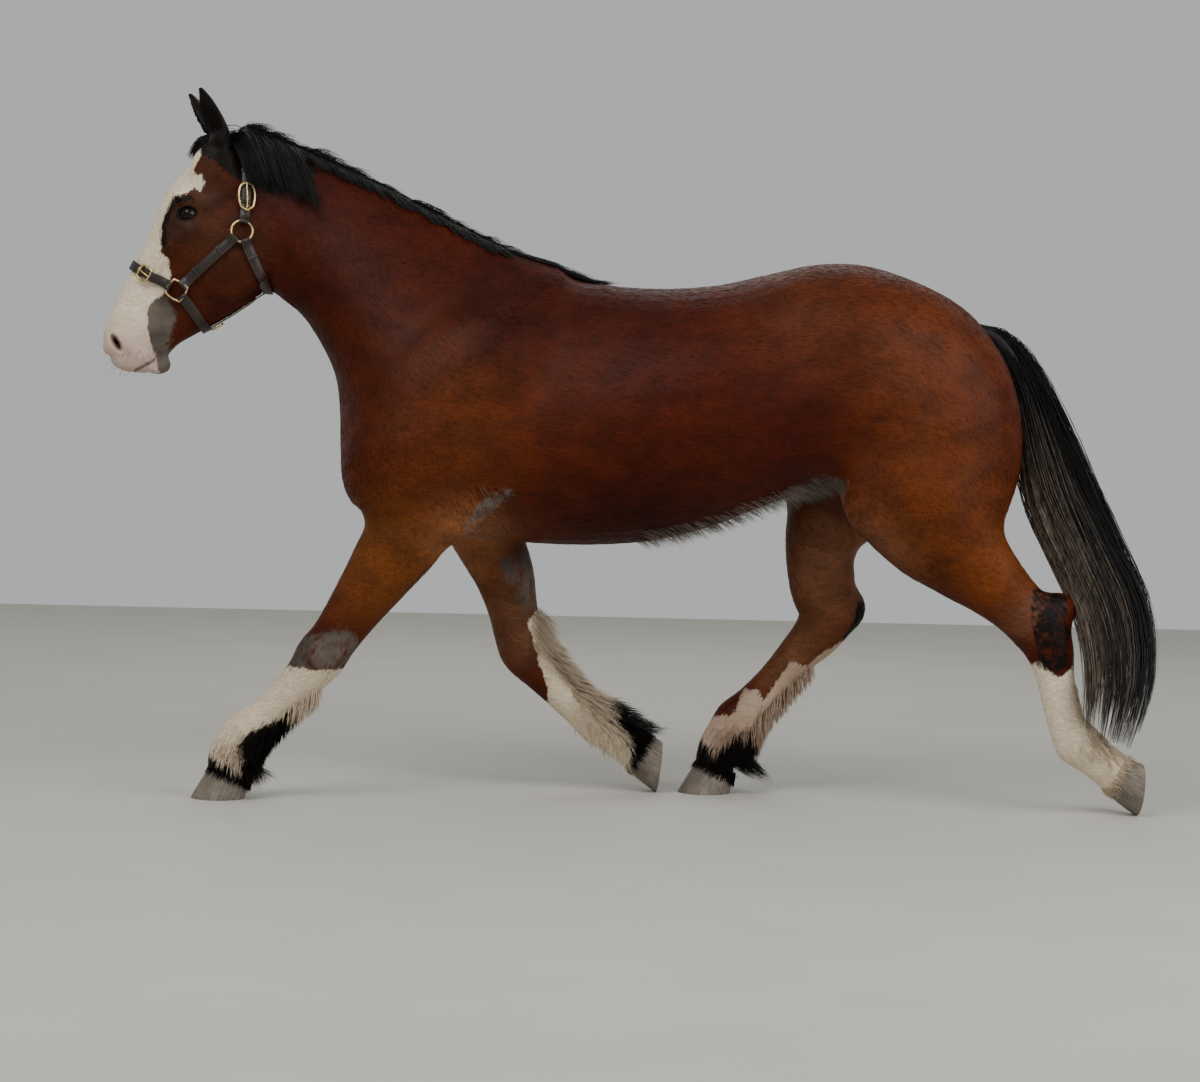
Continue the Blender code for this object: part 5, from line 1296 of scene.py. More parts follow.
def along_line(points, line):
    """The nearest place on a line seen from the side: its share of the length, and the way off it."""
    p = points[:, [0, 2]]
    step = np.diff(line, axis=0)
    length = np.linalg.norm(step, axis=1)
    to = p[:, None] - line[:-1]
    t = np.clip((to * step).sum(2) / length**2, 0, 1)
    off = to - t[..., None] * step
    near = np.linalg.norm(off, axis=2).argmin(1)
    rows = np.arange(len(p))
    before = np.concatenate([[0], np.cumsum(length)])
    share = (before[near] + t[rows, near] * length[near]) / before[-1]
    across = step[near] / length[near][:, None]
    return share, off[rows, near, 0] * -across[:, 1] + off[rows, near, 1] * across[:, 0]


def beside_leg(points, name, reach):
    """Which points are within reach of a leg's middle line, and that line from the side."""
    line = LEGS[name][:, :2]
    middle = np.interp(points[:, 2], line[::-1, 1], line[::-1, 0])
    return (points[:, 1] * side_of(name) > 0) & (np.abs(points[:, 0] - middle) < reach), line


def unwrapped(points):
    """The place of points on the unwrapped skin."""
    share, up = along_line(points, SPINE)
    uv = np.stack([share, 0.75 + 0.24 * np.arctan2(points[:, 1], up) / math.pi], 1)
    for column, name in enumerate(LEGS):
        on_leg, line = beside_leg(points, name, 0.25)
        on_leg &= points[:, 2] < 0.66
        share, off = along_line(points, line)
        turn = np.arctan2(points[:, 1] - side_of(name) * 0.15, off) / math.pi
        uv[on_leg] = np.stack([(column + 0.5 + 0.46 * turn) / 4, 0.02 + 0.46 * share], 1)[on_leg]
    return uv


def map_tufts(obj, corners):
    """Gives hair its OFBake map: a small patch for each tuft, at the place of its root."""
    mesh = obj.data
    uv = unwrapped(vectors(mesh.attributes["root"].data))
    share = read(mesh.attributes["share"].data, "value", 1)
    uv = 0.01 + 0.98 * (uv - uv.min(0)) / np.maximum(uv.max(0) - uv.min(0), 1e-6)
    turn = (np.arange(len(uv)) % corners) / corners
    uv += PATCH * (np.stack([share, turn], 1) - 0.5)
    of_corner = read(mesh.loops, "vertex_index", 1, np.int32)
    mesh.uv_layers.new(name="OFBake").data.foreach_set("uv", uv[of_corner].astype(np.float32).ravel())
    for name in ("root", "share", "thick"):
        if name in mesh.attributes:
            mesh.attributes.remove(mesh.attributes[name])


# %% From guide lines to hair
TAPER = ((0, 0.2, 0.6, 1.0), (0.75, 1.0, 0.85, 0.10))  # width of a strand from root to tip


def hair(name, paths, thick, attributes, material, slot, *nodes, sides=3):
    """Strands along guide lines, an array of lines by points by 3, with their half widths."""
    count, steps = paths.shape[:2]
    share = np.linspace(0, 1, steps)
    values = {key: np.repeat(value, steps, 0) if len(value) == count else value for key, value in attributes.items()}
    values.update(thick=(thick[:, None] * np.interp(share, *TAPER)).ravel(), share=np.tile(share, count))
    guide = guide_object(paths, {**values, "root": np.repeat(paths[:, 0], steps, 0)})
    made = with_nodes(guide, strand_tree, name, Sides=sides, Flatness=0.4, Material=material)
    map_tufts(made, sides)
    print(count, "strands in", steps - 1, "steps")
    finished(made, None, slot, *nodes)


def lifted(paths, lift):
    """Pushes the guide lines out of the skin, so that they lie on it by at least the lift."""
    flat = np.array(paths).reshape(-1, 3)
    lifts = np.broadcast_to(lift, paths.shape[:2]).ravel()
    for i, point in enumerate(flat):
        place, normal, _, _ = skin_tree.find_nearest(Vector(point))
        if place is not None:
            out = (Vector(point) - place).dot(normal)
            if out < lifts[i]:
                flat[i] += np.array(normal) * (lifts[i] - out)
    return flat.reshape(paths.shape)


def gathered(paths, clumps, amount):
    """Draws the strands of each clump together towards their tips."""
    made = paths.copy()
    share = np.linspace(0, 1, paths.shape[1])[None, :, None]
    for clump in np.unique(clumps):
        mine = clumps == clump
        made[mine] = paths[mine] + (paths[mine].mean(0) - paths[mine]) * share**1.3 * amount
    return made


# %% [markdown]
# ### Mane and tail hair
# Coarse horse hair: black with a brown cast, a soft shine along its length, and bleached to a dusty
# grey-brown where the sun and the dust have had it longest. The attribute named tint says how much.

# %% Material of the long hair
long_hair, tree, shader = new_material("coarse black mane and tail hair", Specular_IOR_Level=0.30, IOR=1.5)
strand_noise = noise(tree, 9, (1, 1, 0.3), 3)
black = mixed(tree, (strand_noise, 0.35, 0.70), "#060505", "#130e0c")
bleached = mixed(tree, (strand_noise, 0.30, 0.65), "#463a31", "#7a6a5b")
colour = mixed(tree, (stored(tree, "tint"), 0.15, 0.95), black, bleached)
paint(tree, shader, colour, (strand_noise, 0.2, 0.8, 0.42, 0.60), noise(tree, 1.2, (1, 1, 0.2), 2), 0.3)
print("material:", long_hair.name)

# %% [markdown]
# ### Mane
# The mane is short: most of it stands up and blows back along the crest in tufts, some lies on the
# near side as a dark band, and the rest falls to the far side. Behind the ears long black hair falls
# over the near side as far as the crown buckle.

# %% Mane guide lines
def crest_places(x, y):
    """The points of the skin at the top of the neck, straight below (x, y)."""
    tops = []
    for a, b in zip(x, y):
        place, *_ = skin_tree.ray_cast(Vector((a, b, 2.0)), Vector((0, 0, -1)))
        tops.append(place if place is not None else Vector((a, b, 1.3)))
    return np.array(tops)


def swept(roots, way, bend, length, steps, wander=0.0):
    """Guide lines that leave their roots one way and bend another, with a little waviness."""
    s = np.linspace(0, 1, steps)[None, :, None]
    lines = roots[:, None] + (way[:, None] * s + bend[:, None] * s * s) * length[:, None, None]
    wave = np.sin(s * 7 + chance.uniform(0, 6, (len(roots), 1, 1))) * chance.normal(0, 1, (len(roots), 1, 3))
    return lines + wave * wander * s


def spread_normal(count, *amount):
    return chance.normal(0, 1, (count, 3)) * np.array(amount)


MANE_SIDES = {"top": (-0.014, 0.010), "near": (-0.024, -0.004), "far": (0.000, 0.024), "fall": (-0.030, 0.006)}


def mane_lines(count, start, end, kind):
    x = start + (end - start) * chance.random(count)
    side = {name: chance.uniform(low, high, count) for name, (low, high) in MANE_SIDES.items()}[kind]
    roots = crest_places(x, side) - (0, 0, 0.004)
    clumps = np.floor((x - start) / 0.0125).astype(int)
    luck = chance.random(400)[clumps]
    slope = np.interp(x, (-1.0, -0.85, -0.6, -0.33), (0.05, -0.30, -0.48, -0.42))
    back = unit(seen_from_side(np.ones(count), slope))
    up = np.array((0, 0, 1.0))
    if kind == "top":
        way = back * 0.85 + up * (0.22 + 0.52 * luck[:, None]) * chance.uniform(0.35, 1.1, (count, 1))
        bend = back * 0.20 - up * 0.50 + np.array((0, 0.06, 0))
        length, lift = 0.043 + 0.043 * luck, 0.002
    elif kind == "near":
        way, bend = back * 0.75 + np.array((0, -0.55, 0.10)), back * 0.10 + np.array((0, 0, -0.50))
        length, lift = 0.040 + 0.030 * luck, 0.003
    elif kind == "far":
        way, bend = back * 0.40 + np.array((0, 0.65, 0.30)), np.array((0.0, 0.20, -0.95))
        length, lift = 0.090 + 0.035 * luck, 0.003
    else:
        way, bend = back * 0.30 + np.array((0, -0.75, 0.05)), np.array((0.16, 0.10, -0.95))
        length, lift = 0.115 + 0.050 * luck, 0.003
    way = way + spread_normal(count, 0.07, 0.07, 0.07)
    bend = bend + spread_normal(count, 0.05, 0.08, 0.05)
    lines = swept(roots, way, bend, length, 7, 0.0016)
    lines = gathered(lines, clumps, 0.28 if kind == "top" else 0.45)
    return lifted(lines, lift * np.linspace(0, 1, 7) * chance.uniform(1, 3.2, (count, 1)))


mane = np.concatenate([
    mane_lines(int(1750 * dense), -0.985, -0.335, "top"), mane_lines(int(1200 * dense), -0.900, -0.335, "near"),
    mane_lines(int(900 * dense), -0.985, -0.335, "far"), mane_lines(int(700 * dense), -1.010, -0.850, "fall"),
])
mane_tint = np.clip(chance.normal(0.08, 0.09, len(mane)), 0, 0.4)
hair("mane", mane, chance.uniform(0.0011, 0.0021, len(mane)), {"tint": mane_tint}, long_hair, "points")

# %% Wisps over the withers, forelock and the tuft behind the ears
def tuft_lines(count, low, high, way, bend, length, spread, clump_size, lift=0.003):
    """Guide lines from roots spread over the top of the skin between two corners (x, y)."""
    xy = chance.uniform(low, high, (count, 2))
    roots = crest_places(xy[:, 0], xy[:, 1]) - (0, 0, 0.004)
    column, row = np.floor(xy / clump_size).astype(int).T
    lengths = chance.uniform(*length, count)
    ways = np.array(way) + spread_normal(count, *spread)
    lines = gathered(swept(roots, ways, np.tile(bend, (count, 1)), lengths, 7, 0.002), column * 50 + row, 0.6)
    return lifted(lines, lift * np.linspace(0, 1, 7) * chance.uniform(0.6, 2.5, (count, 1)))


crown = np.concatenate([
    tuft_lines(  # wisps over the withers
        int(700 * dense), (-0.345, -0.020), (-0.185, 0.028), (1.0, 0.05, -0.16), (0, 0, -0.30), (0.10, 0.175),
        (0.04, 0.14, 0.09), 0.018, 0.005),
    tuft_lines(  # forelock
        int(500 * dense), (-1.060, -0.022), (-1.020, 0.022), (-0.55, 0, 0.20), (-0.02, 0, -0.75), (0.070, 0.100),
        (0.08, 0.25, 0.08), 0.010),
    tuft_lines(  # behind the ears
        int(600 * dense), (-1.035, -0.040), (-0.970, 0.034), (0.60, 0, 0.55), (0.15, 0, -0.55), (0.065, 0.095),
        (0.10, 0.20, 0.10), 0.012),
])
crown_width = chance.uniform(0.0010, 0.0019, len(crown))
crown_tint = np.clip(chance.normal(0.12, 0.1, len(crown)), 0, 0.5)
hair("forelock", crown, crown_width, {"tint": crown_tint}, long_hair, "points")

# %% [markdown]
# ### Tail
# The dock is a slim form with long hair all down it. The strands run along one
# line, bulge away from it and come together again at their tips, in clumps that end at different
# heights. Those on the near and lower side are streaked with dusty grey-brown.

# %% Tail guide lines
# x, y, z, half width seen from the side, half width seen from behind
TAIL = table("""
    862 0 1205 34 36, 935 0 1160 52 44, 995 -4 1060 66 50, 1040 -14 930 84 56, 1086 -36 790 96 60,
    1146 -80 650 96 62, 1202 -142 510 98 62, 1214 -200 380 96 58, 1196 -238 270 88 50, 1178 -255 190 80 42""")
CLUMPS, DOCK_SHARE = 150, 0.40
tail_line = spline(TAIL, 8)
tail_ways = unit(np.gradient(tail_line[:, :3], axis=0))
tail_depth = unit(seen_from_side(tail_ways[:, 2], -tail_ways[:, 0]))
count, steps = int(2500 * dense), 13
clumps = chance.integers(0, CLUMPS, count)
clump_turn, clump_out = chance.uniform(0, 2 * math.pi, CLUMPS), np.sqrt(chance.uniform(0.15, 1, CLUMPS))
clump_start, clump_end = chance.uniform(0.0, 0.40, CLUMPS), chance.uniform(0, 1, CLUMPS)
start = np.clip(clump_start[clumps] + chance.normal(0, 0.02, count), 0, 0.42)
end = np.clip(0.60 + 0.42 * clump_end[clumps] + chance.normal(0, 0.02, count), start + 0.25, 1.0)
turn = clump_turn[clumps] + chance.normal(0, 0.30, count)
out = np.clip(clump_out[clumps] + chance.normal(0, 0.10, count), 0.05, 1.05)
s = np.linspace(0, 1, steps)
place = (start[:, None] + (end - start)[:, None] * s) * (len(tail_line) - 1)
index = np.arange(len(tail_line))


def along_tail(values):
    return np.stack([np.interp(place, index, values[:, k]) for k in range(values.shape[1])], 2)


swell = np.interp(s, (0, 0.12, 0.45, 0.8, 1), (0.30, 0.75, 1.0, 0.98, 0.90))[None]
swell = swell * (1 + 0.06 * np.sin(5 * s[None] + chance.uniform(0, 6, (count, 1))))
half = along_tail(tail_line[:, 3:5]) * (out[:, None] * swell)[..., None]
tail_paths = along_tail(tail_line[:, :3]) + along_tail(tail_depth) * (np.cos(turn)[:, None] * half[..., 0])[..., None]
tail_paths[..., 1] += np.sin(turn)[:, None] * half[..., 1]
tail_paths = gathered(tail_paths, clumps, 0.55)
front_side = 0.5 + 0.5 * np.cos(clump_turn) * clump_out  # towards the horse
near_side = 0.5 - 0.5 * np.sin(clump_turn)
bleach = np.clip(1.9 * front_side + 0.5 * near_side + 0.9 * (chance.random(CLUMPS) - 0.5) - 1.05, 0, 1)
tail_tint = bleach[clumps][:, None] * np.interp(place / index[-1], (0.15, 0.35, 0.7), (0.0, 0.7, 1.0))
dock_rings = []
for k in range(0, round(index[-1] * DOCK_SHARE), 2):
    slim = np.interp(k, (0, 3, 8, index[-1] * DOCK_SHARE), (0.22, 0.50, 0.58, 0.35))
    depth, width = tail_line[k, 3:5] * slim
    dock_rings.append(egg_ring(tail_line[k, :3], tail_depth[k], depth, width, 0.0, 20))
dock = form_object("dock", loft(dock_rings))
give(dock.data, {"tint": np.full(len(dock.data.vertices), 0.02)})
finished(dock, long_hair, "points")
tail_width = chance.uniform(0.0014, 0.0030, count)
hair("tail_hair", tail_paths, tail_width, {"tint": tail_tint.ravel()}, long_hair, "points", "tail")

# %% [markdown]
# ### Feather
# A cob's feather is long hair down the back of the cannon and round the fetlock, over the heel. It
# has the marks of the skin that it grows from, so it takes the coat's colours and not the mane's.

# %% Feather guide lines
FEATHER = {  # share of the leg where it starts, strands, length at the top and at the fetlock, flare
    "foreleg_left": (0.52, 2300, (0.034, 0.062), 0.62), "foreleg_right": (0.29, 3600, (0.060, 0.085), 0.88),
    "hindleg_left": (0.66, 1500, (0.016, 0.040), 0.40), "hindleg_right": (0.55, 2600, (0.030, 0.080), 0.72),
}


def feather_lines(name):
    start, count, (short, long), flare = FEATHER[name]
    count = int(count * dense)
    centres, downs, forwards, depths, widths = leg_path(name, 8)
    point, down = coronets[name]
    last = max(i for i, c in enumerate(centres) if (np.array(c) - np.array(point)) @ np.array(down) < -0.012)
    station = (start + (1 - start) * chance.random(count) ** 0.75) * last
    index = np.arange(len(centres))
    centre, along, forward = (
        np.stack([np.interp(station, index, values[:, k]) for k in range(3)], 1)
        for values in (centres, downs, forwards))
    along, forward = unit(along), unit(forward)
    depth, width = np.interp(station, index, depths), np.interp(station, index, widths)
    share = (station / last - start) / (1 - start)
    fetlock = np.clip((share - 0.50) / 0.2, 0, 1)
    turn = np.clip(chance.normal(0, 1, count) * np.radians(22 + 38 * fetlock), -2.4, 2.4)
    out = unit(-forward * np.cos(turn)[:, None] + np.array((0, 1, 0)) * np.sin(turn)[:, None])
    root = centre - forward * (np.cos(turn) * depth)[:, None] * 0.96
    root[:, 1] += np.sin(turn) * width * 0.96
    length = (short + (long - short) * share**1.2) * (0.62 + 0.38 * np.cos(turn)) * chance.uniform(0.7, 1.15, count)
    blown = np.clip(markings(root)["dark"] / 0.01, 0, 1) * np.clip((share - 0.5) / 0.3, 0, 1)
    blown *= name in ("foreleg_left", "hindleg_right")
    length = length * (1 + 0.4 * blown)
    lie = along * (1.2 - flare) + out * flare + np.array((0, 0, -0.25))
    lie = lie * (1 - 0.5 * blown[:, None]) + np.array((0.55, 0, 0.05)) * blown[:, None]
    drop = np.array((0, 0, -0.22)) * (1 - blown[:, None]) + along * 0.1
    clumps = np.floor(station / 1.6).astype(int) * 40 + np.floor(turn / 0.22).astype(int)
    lines = swept(root, lie + spread_normal(count, 0.10, 0.10, 0.08), drop, length, 6, 0.0015)
    return lifted(gathered(lines, clumps, 0.5), np.linspace(0, 1, 6) * chance.uniform(0.001, 0.005, (count, 1)))


def coronet_lines(name, count):
    """Short hair that hangs over the top of the hoof all round."""
    point, down = (np.array(v) for v in coronets[name])
    place = np.array(hoof_frame(name).to_3x3())
    tilt = math.radians(CORONET_TILT)
    ahead = place @ np.array((-math.cos(tilt), 0, math.sin(tilt)))
    turn = chance.uniform(0, 2 * math.pi, count)
    across = np.array((0, 1, 0)) * np.sin(turn)[:, None] * CORONET_WIDTH / 2
    ring = ahead * np.cos(turn)[:, None] * CORONET_LENGTH / 2 + across
    root = point + ring * 0.95 - down * chance.uniform(0.004, 0.016, count)[:, None]
    lie = down + unit(ring) * 0.30 + spread_normal(count, 0.12, 0.12, 0.12)
    return swept(root, lie, -unit(ring) * 0.05, chance.uniform(0.018, 0.030, count), 6, 0.0008)


for name in LEGS:
    lines = np.concatenate([feather_lines(name), coronet_lines(name, int(700 * dense))])
    lines[..., 2] = np.maximum(lines[..., 2], 0.003)  # off the floor
    look = markings(lines[:, 0])
    look["dark"] = np.maximum(look["dark"], markings(lines[:, 3])["dark"])
    look["bare"] = np.zeros(len(lines))
    hair("feather_" + name, lines, chance.uniform(0.0008, 0.0016, len(lines)), look, tuft_coat, "white_leg")

# %% [markdown]
# ### Belly, elbow and small hairs
# Longer greyish hair hangs along the fold of the flank and behind the elbow. The ears have soft
# hair inside, the upper lids have lashes, and a few stiff whiskers stand on the muzzle and chin.

# %% Small hairs
def found_roots(count, low, high, side=0):
    """Roots where lines meet the skin between two corners, from a side (x, z) or, with side 0, from below (x, y)."""
    roots, outs = [], []
    while len(roots) < count:
        x, other = chance.uniform(low, high)
        start, way = ((x, side * 0.6, other), (0, -side, 0)) if side else ((x, other, 0.52), (0, 0, 1))
        place, normal, _, _ = skin_tree.ray_cast(Vector(start), Vector(way))
        if place is not None and (place.y * side > 0.02 if side else place.z > 0.55 and normal.z < 0):
            roots.append(place)
            outs.append(normal)
    return np.array(roots), np.array(outs)


def short_lines(roots, outs, way, length, stand, steps=5):
    count = len(roots)
    lie = unit(np.array(way) + spread_normal(count, 0.16, 0.12, 0.12) + outs * stand)
    droop = np.array((0.05, 0, -0.30)) + 0 * roots
    lines = swept(roots - outs * 0.002, lie, droop, chance.uniform(*length, count), steps, 0.001)
    return lifted(lines, np.linspace(0, 1, steps) * chance.uniform(0.0015, 0.004, (count, 1)))


under_belly = found_roots(int(1500 * dense), (0.02, -0.15), (0.50, 0.15))
belly_parts = [short_lines(*under_belly, (1, 0, -0.25), (0.022, 0.042), 0.10)]
for side in (LEFT, RIGHT):
    by_elbow = found_roots(int(70 * dense), (-0.41, 0.67), (-0.29, 0.78), side)
    belly_parts.append(short_lines(*by_elbow, (0.8, 0, -0.6), (0.014, 0.026), 0.04))
belly = np.concatenate(belly_parts)
look = markings(belly[:, 0])
pale = chance.random(len(belly)) < np.where(belly[:, 0, 0] > 0, 0.75, 0.15)
look["tone"][pale] = (*linear("#9c8f83"), 1)
look["grey"][pale] = -RAGGED
look["bare"] = np.zeros(len(belly))
hair("belly_hair", belly, chance.uniform(0.0008, 0.0014, len(belly)), look, tuft_coat, "coat")

# %% Lashes, whiskers and the hair in the ears
def lash_lines(side, count):
    """Lashes that stand out and down from the upper lid."""
    centre, out = eye_at(side)
    turn = chance.uniform(0.6, 2.5, count)[:, None]
    way = EYE_FORWARD * np.cos(turn) * 0.75 + EYE_UP * np.sin(turn) * 0.66 + out * 0.75
    roots = centre + unit(way) * (EYE_RADIUS + 0.002)
    lie = unit(out + EYE_FORWARD * np.cos(turn) * 0.3 - EYE_UP * 0.35 + spread_normal(count, 0.06, 0.06, 0.06))
    return swept(roots, lie, np.tile((0, 0, 0.10), (count, 1)), chance.uniform(0.010, 0.016, count), 5)


small = []
for side in (LEFT, RIGHT):
    roots, outs = found_roots(45, (-1.290, 1.040), (-1.170, 1.100), side)
    ways = unit(outs + (-0.25, 0, -0.35) + spread_normal(len(roots), 0.15, 0.15, 0.15))
    droop = np.tile((0, 0, -0.12), (len(roots), 1))
    small.append(swept(roots - outs * 0.001, ways, droop, chance.uniform(0.018, 0.042, len(roots)), 5))
    small.append(lash_lines(side, 60))
height = skin_points[:, 2]
in_ear = (height > 1.63) & (height < 1.70) & (np.abs(skin_points[:, 1]) > 0.02) & (skin_normals[:, 0] < -0.25)
in_ear = chance.choice(np.flatnonzero(in_ear), int(700 * dense))
roots, outs = skin_points[in_ear], skin_normals[in_ear]
ways = unit((-0.15, 0, 1.0) + outs * 0.22 + spread_normal(len(in_ear), 0.12, 0.12, 0.05))
small.append(swept(roots - outs * 0.001, ways, ways * 0.1, chance.uniform(0.008, 0.015, len(in_ear)), 5))
small = np.concatenate(small)
look = markings(small[:, 0])
whisker = small[:, 0, 2] < 1.2
look["tone"][whisker] = (*linear("#6a5f55"), 1)
look["white"][whisker] = look["grey"][whisker] = -RAGGED
look["dark"][~whisker] = RAGGED
look["bare"] = look["deep"] = np.zeros(len(small))
hair("lashes_and_whiskers", small, chance.uniform(0.00030, 0.00050, len(small)), look, tuft_coat, "coat")

# %% [markdown]
# ## Short coat
# The short coat lies flat, so it is mostly bump. Thin tufts lie over it, densest where they break
# the form: along the top line, under the belly and jaw, and at the backs of the legs. One tree
# spreads them over the skin, which stores the lie of the coat, its cover and the size of a tuft.

# %% How the coat lies, how long it is and how much of it there is
# x, z of a place, and the way the hair lies there, in x and z
LIE = table("""
    -126 110 -45 -90, -121 130 -55 -83, -114 122 -10 -99, -112 142 -45 -90, -106 155 -60 -80, -102 162 30 95,
    -100 146 55 -83, -102 133 60 -80, -94 128 75 -66, -90 158 60 -80, -80 140 62 -78, -80 120 45 -90,
    -60 140 80 -60, -60 120 60 -80, -62 95 20 -98, -45 110 72 -69, -45 85 30 -95, -20 125 96 -28,
    -15 95 90 -44, -15 72 97 -20, 20 120 98 -20, 20 95 94 -34, 20 75 98 -10, 50 125 97 -25, 48 95 50 -20,
    55 82 25 -96, 75 120 85 -53, 75 95 40 -92, 90 105 35 -94""", 100)


def lie_of_coat(points, normals):
    """The way the hair lies along the skin at each point."""
    way = np.zeros((len(points), 3))
    weight = 1 / (((points[:, None, [0, 2]] - LIE[:, :2]) ** 2).sum(2) + 4e-4) ** 2
    way[:, [0, 2]] = (weight[..., None] * LIE[:, 2:]).sum(1) / weight.sum(1)[:, None]
    ear = (points[:, 2] > 1.625) & (np.abs(points[:, 1]) > 0.022)
    way[ear] = (-0.15, 0.0, 1.0)
    for name in LEGS:
        on_leg, line = beside_leg(points, name, 0.26)
        slope = np.interp(points[:, 2], line[::-1, 1], np.gradient(line[:, 0], line[:, 1])[::-1])
        near = (on_leg * np.clip((0.72 - points[:, 2]) / 0.12, 0, 1))[:, None]
        way = way * (1 - near) + unit(seen_from_side(-slope, -np.ones(len(slope)))) * near
    way -= normals * (way * normals).sum(1)[:, None]
    return unit(way)


def coat_plan(points, normals):
    """For each point of the skin: the tuft's length in metres, and how much of the coat is tufts."""
    x, y, z = points.T
    look = markings(points)
    on_head = np.clip((-0.90 - x) / 0.08, 0, 1) * (z > 0.95)
    low = np.clip((0.60 - z) / 0.1, 0, 1)
    size = 0.0200 * (1 - on_head) + 0.0105 * on_head
    size = size * (1 - low) + 0.0140 * low
    size = np.where((x < -1.19) & (z < 1.25), 0.0050, size)
    under = np.clip(-normals[:, 2] * 1.6 - 0.3, 0, 1)
    above = np.clip(normals[:, 2] * 1.6 - 0.7, 0, 1)
    behind = np.clip(normals[:, 0] * 1.4 - 0.3, 0, 1) * low
    cover = 0.70 + 0.30 * np.max([under, above, behind], 0)
    edge = np.exp(-((look["white"] / 0.012) ** 2)) + np.exp(-((look["dark"] / 0.014) ** 2))
    cover = np.clip(np.maximum(cover, edge), 0, 1)
    cover = cover * (1 - np.clip(look["bare"] / 0.006 + 0.5, 0, 1))
    eye_gap = np.min([np.linalg.norm(points - eye_at(side)[0], axis=1) for side in (LEFT, RIGHT)], 0)
    cover = cover * np.clip((eye_gap - 0.024) / 0.006, 0, 1)
    return size, cover * (z > 0.055) * ~((z > 1.60) & (on_head > 0.5) & (np.abs(y) > 0.02))


lie = lie_of_coat(skin_points, skin_normals)
size, cover = coat_plan(skin_points, skin_normals)
print("coat: tufts", round(size.min() * 1000, 1), "to", round(size.max() * 1000, 1), "mm long")

# %% The tuft and the tuft tree
CORNERS = 7  # of one tuft


def tuft_object():
    """A thin closed lock, 1 long, that lies along X and points up a little at its tip."""
    rows = ((0.0, 0.045, -0.022), (0.50, 0.085, 0.004))
    points = [p for x, w, z in rows for p in ((x, w, z), (x, -w, z), (x, 0, z + 0.022))]
    points.append((1.0, 0.0, 0.020))
    faces = [(0, 2, 1)]
    for j in range(3):
        k = (j + 1) % 3
        faces += [(j, k, 3 + k), (j, 3 + k, 3 + j), (3 + j, 3 + k, 6)]
    tuft = linked("one tuft", bpy.data.meshes.new("one tuft"))
    with editing(tuft.data) as work:
        corners = [work.verts.new(p) for p in points]
        for face in faces:
            work.faces.new([corners[i] for i in face])
        bmesh.ops.recalc_face_normals(work, faces=work.faces)
    give(tuft.data, {"share": [p[0] for p in points]})
    return tuft


def random_between(tree, low, high, seed):
    links = {"Min": low, "Max": high, "Seed": seed}
    return add(tree, "FunctionNodeRandomValue", links, data_type="FLOAT").outputs["Value"]


def keep_vector(tree, points, name, value):
    links = {"Geometry": points, "Name": name, "Value": value}
    kind = {"data_type": "FLOAT_VECTOR", "domain": "POINT"}
    return add(tree, "GeometryNodeStoreNamedAttribute", links, **kind).outputs[0]


tree, inputs = new_geometry_tree(
    "tufts over the skin", Density=("Float", 20000.0), Seed=("Int", 3), Tuft=("Object", None),
    Rise=("Float", 0.030), Material=("Material", None))
tuft_tree = tree
spread = {"Mesh": inputs["Geometry"], "Seed": inputs["Seed"]}
spread["Density"] = calc(tree, "MULTIPLY", named(tree, "cover"), inputs["Density"])
roots = add(tree, "GeometryNodeDistributePointsOnFaces", spread).outputs
points = keep_vector(tree, roots["Points"], "root", add(tree, "GeometryNodeInputPosition").outputs[0])
points = keep_vector(tree, points, "out", roots["Normal"])
axes = {"Primary Axis": roots["Normal"], "Secondary Axis": named(tree, "lie", "FLOAT_VECTOR")}
turned = add(tree, "FunctionNodeAxesToRotation", axes).outputs[0]
pitch = calc(tree, "MULTIPLY", inputs["Rise"], random_between(tree, -0.6, 1.0, 6))
angles = {"X": 0.0, "Y": calc(tree, "SUBTRACT", 0.0, pitch), "Z": random_between(tree, -0.22, 0.22, 5)}
angles = add(tree, "ShaderNodeCombineXYZ", angles).outputs[0]
bend = add(tree, "FunctionNodeEulerToRotation", {"Euler": angles}).outputs[0]
turned = add(tree, "FunctionNodeRotateRotation", {"Rotation": turned, "Rotate By": bend}, rotation_space="LOCAL")
lock = add(tree, "GeometryNodeObjectInfo", {"Object": inputs["Tuft"], "As Instance": True}).outputs["Geometry"]
locks = {"Points": points, "Instance": lock, "Rotation": turned.outputs[0]}
locks["Scale"] = calc(tree, "MULTIPLY", random_between(tree, 0.75, 1.25, 7), named(tree, "size"))
realized(tree, add(tree, "GeometryNodeInstanceOnPoints", locks).outputs[0], inputs["Material"])

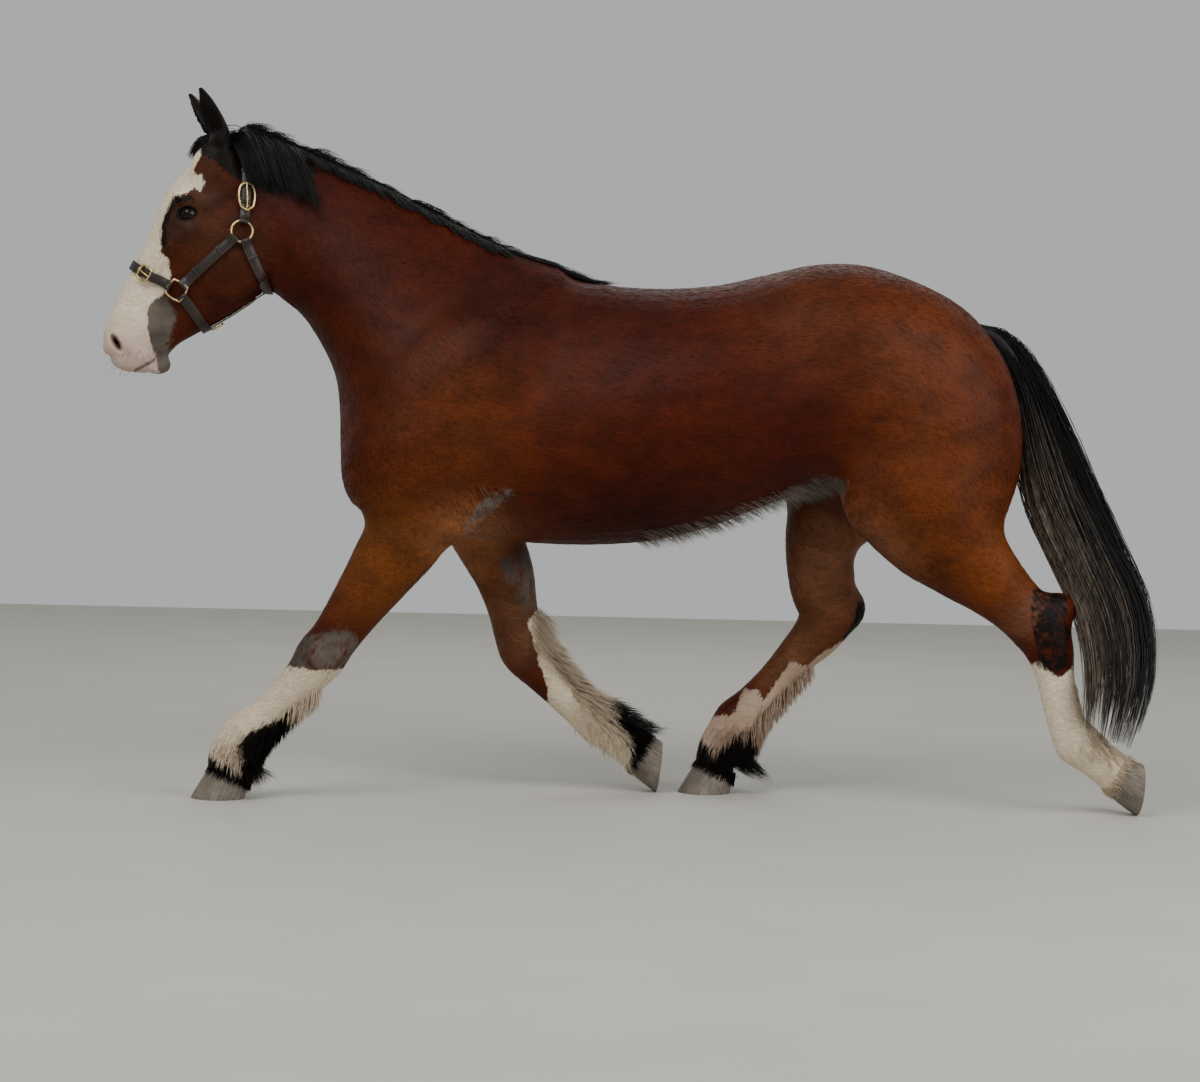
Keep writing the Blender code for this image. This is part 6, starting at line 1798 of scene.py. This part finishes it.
# %% Spread the tufts, one piece for each part of the body
tuft = tuft_object()
skin.data.calc_loop_triangles()
skin_faces = read(skin.data.loop_triangles, "vertices", 3, np.int32)
x, _, z = skin_points[skin_faces].mean(1).T
regions = {  # which faces of the skin, and tufts for each square metre
    "coat_head": ((x < -0.90) & (z > 0.95), 52000), "coat_neck": ((x >= -0.90) & (x < -0.52) & (z > 0.72), 30000),
    "coat_barrel": ((x >= -0.52) & (x < 0.36) & (z > 0.62), 19500),
    "coat_quarters": ((x >= 0.36) & (z > 0.62), 23000),
}
rest = ~np.any([mask for mask, _ in regions.values()], 0)
regions["coat_legs"] = (rest, 29000)
for seed, (name, (mask, per_metre)) in enumerate(regions.items()):
    used, faces = np.unique(skin_faces[mask], return_inverse=True)
    base = new_object("base", skin_points[used], faces.reshape(-1, 3))
    give(base.data, {"cover": cover[used], "size": size[used], "lie": lie[used]})
    coat = with_nodes(base, tuft_tree, name, Density=per_metre * dense, Seed=seed + 3, Tuft=tuft, Material=tuft_coat)
    first = vectors(coat.data.attributes["root"].data)[::CORNERS]
    look = markings(first)
    look["tone"][:, :3] *= chance.uniform(0.84, 1.16, (len(first), 1))
    give(coat.data, {key: np.repeat(value, CORNERS, 0) for key, value in look.items()})
    shaded = 4 * vectors(coat.data.attributes["out"].data) + vectors(coat.data.vertex_normals)
    coat.data.normals_split_custom_set_from_vertices(unit(shaded))  # lit as the skin beneath it is
    coat.data.attributes.remove(coat.data.attributes["out"])
    map_tufts(coat, CORNERS)
    print(len(first), "tufts")
    finished(coat, None, "coat")
bpy.data.objects.remove(tuft)

# %% [markdown]
# ## Floor and light
# A plain pale floor, a large soft light above and in front, and a weaker one behind, as in a studio.

# %% Floor and light
floor = new_object("floor", [(-9, -6, 0), (9, -6, 0), (9, 7, 0), (-9, 7, 0)], [(0, 1, 2, 3)], smooth=False)
floor_paint, tree, shader = new_material("matt floor paint", Roughness=0.8)
paint(tree, shader, mixed(tree, noise(tree, 400, detail=4), "#b9b5ad", "#c6c2ba"), bump=noise(tree, 4))
floor.data.materials.append(floor_paint)
floor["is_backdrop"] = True
LAMPS = {  # place, size in metres and power in watts
    "key": ((-2.2, -3.6, 4.6), 3.2, 165), "fill": ((3.4, -3.0, 2.6), 3.0, 115), "back": ((0.5, 4.2, 3.8), 3.5, 42),
}
for name, (place, size, power) in LAMPS.items():
    light = bpy.data.lights.new(name, "AREA")
    light.energy, light.size = power, size
    lamp = linked(name, light)
    lamp.location = place
    lamp.rotation_mode = "QUATERNION"
    lamp.rotation_quaternion = (Vector((0, 0, 0.8)) - Vector(place)).to_track_quat("-Z", "Y")
world = bpy.data.worlds.new("studio")
world.use_nodes = True
backdrop = world.node_tree.nodes["Background"].inputs
backdrop["Color"].default_value, backdrop["Strength"].default_value = (*linear("#c9ccca"), 1), 0.84
bpy.context.scene.world = world

# %% Print the box of what is made, and finish
made_box = [list(corner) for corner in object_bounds()]
print("visual box:", [[round(v, 3) for v in corner] for corner in made_box])
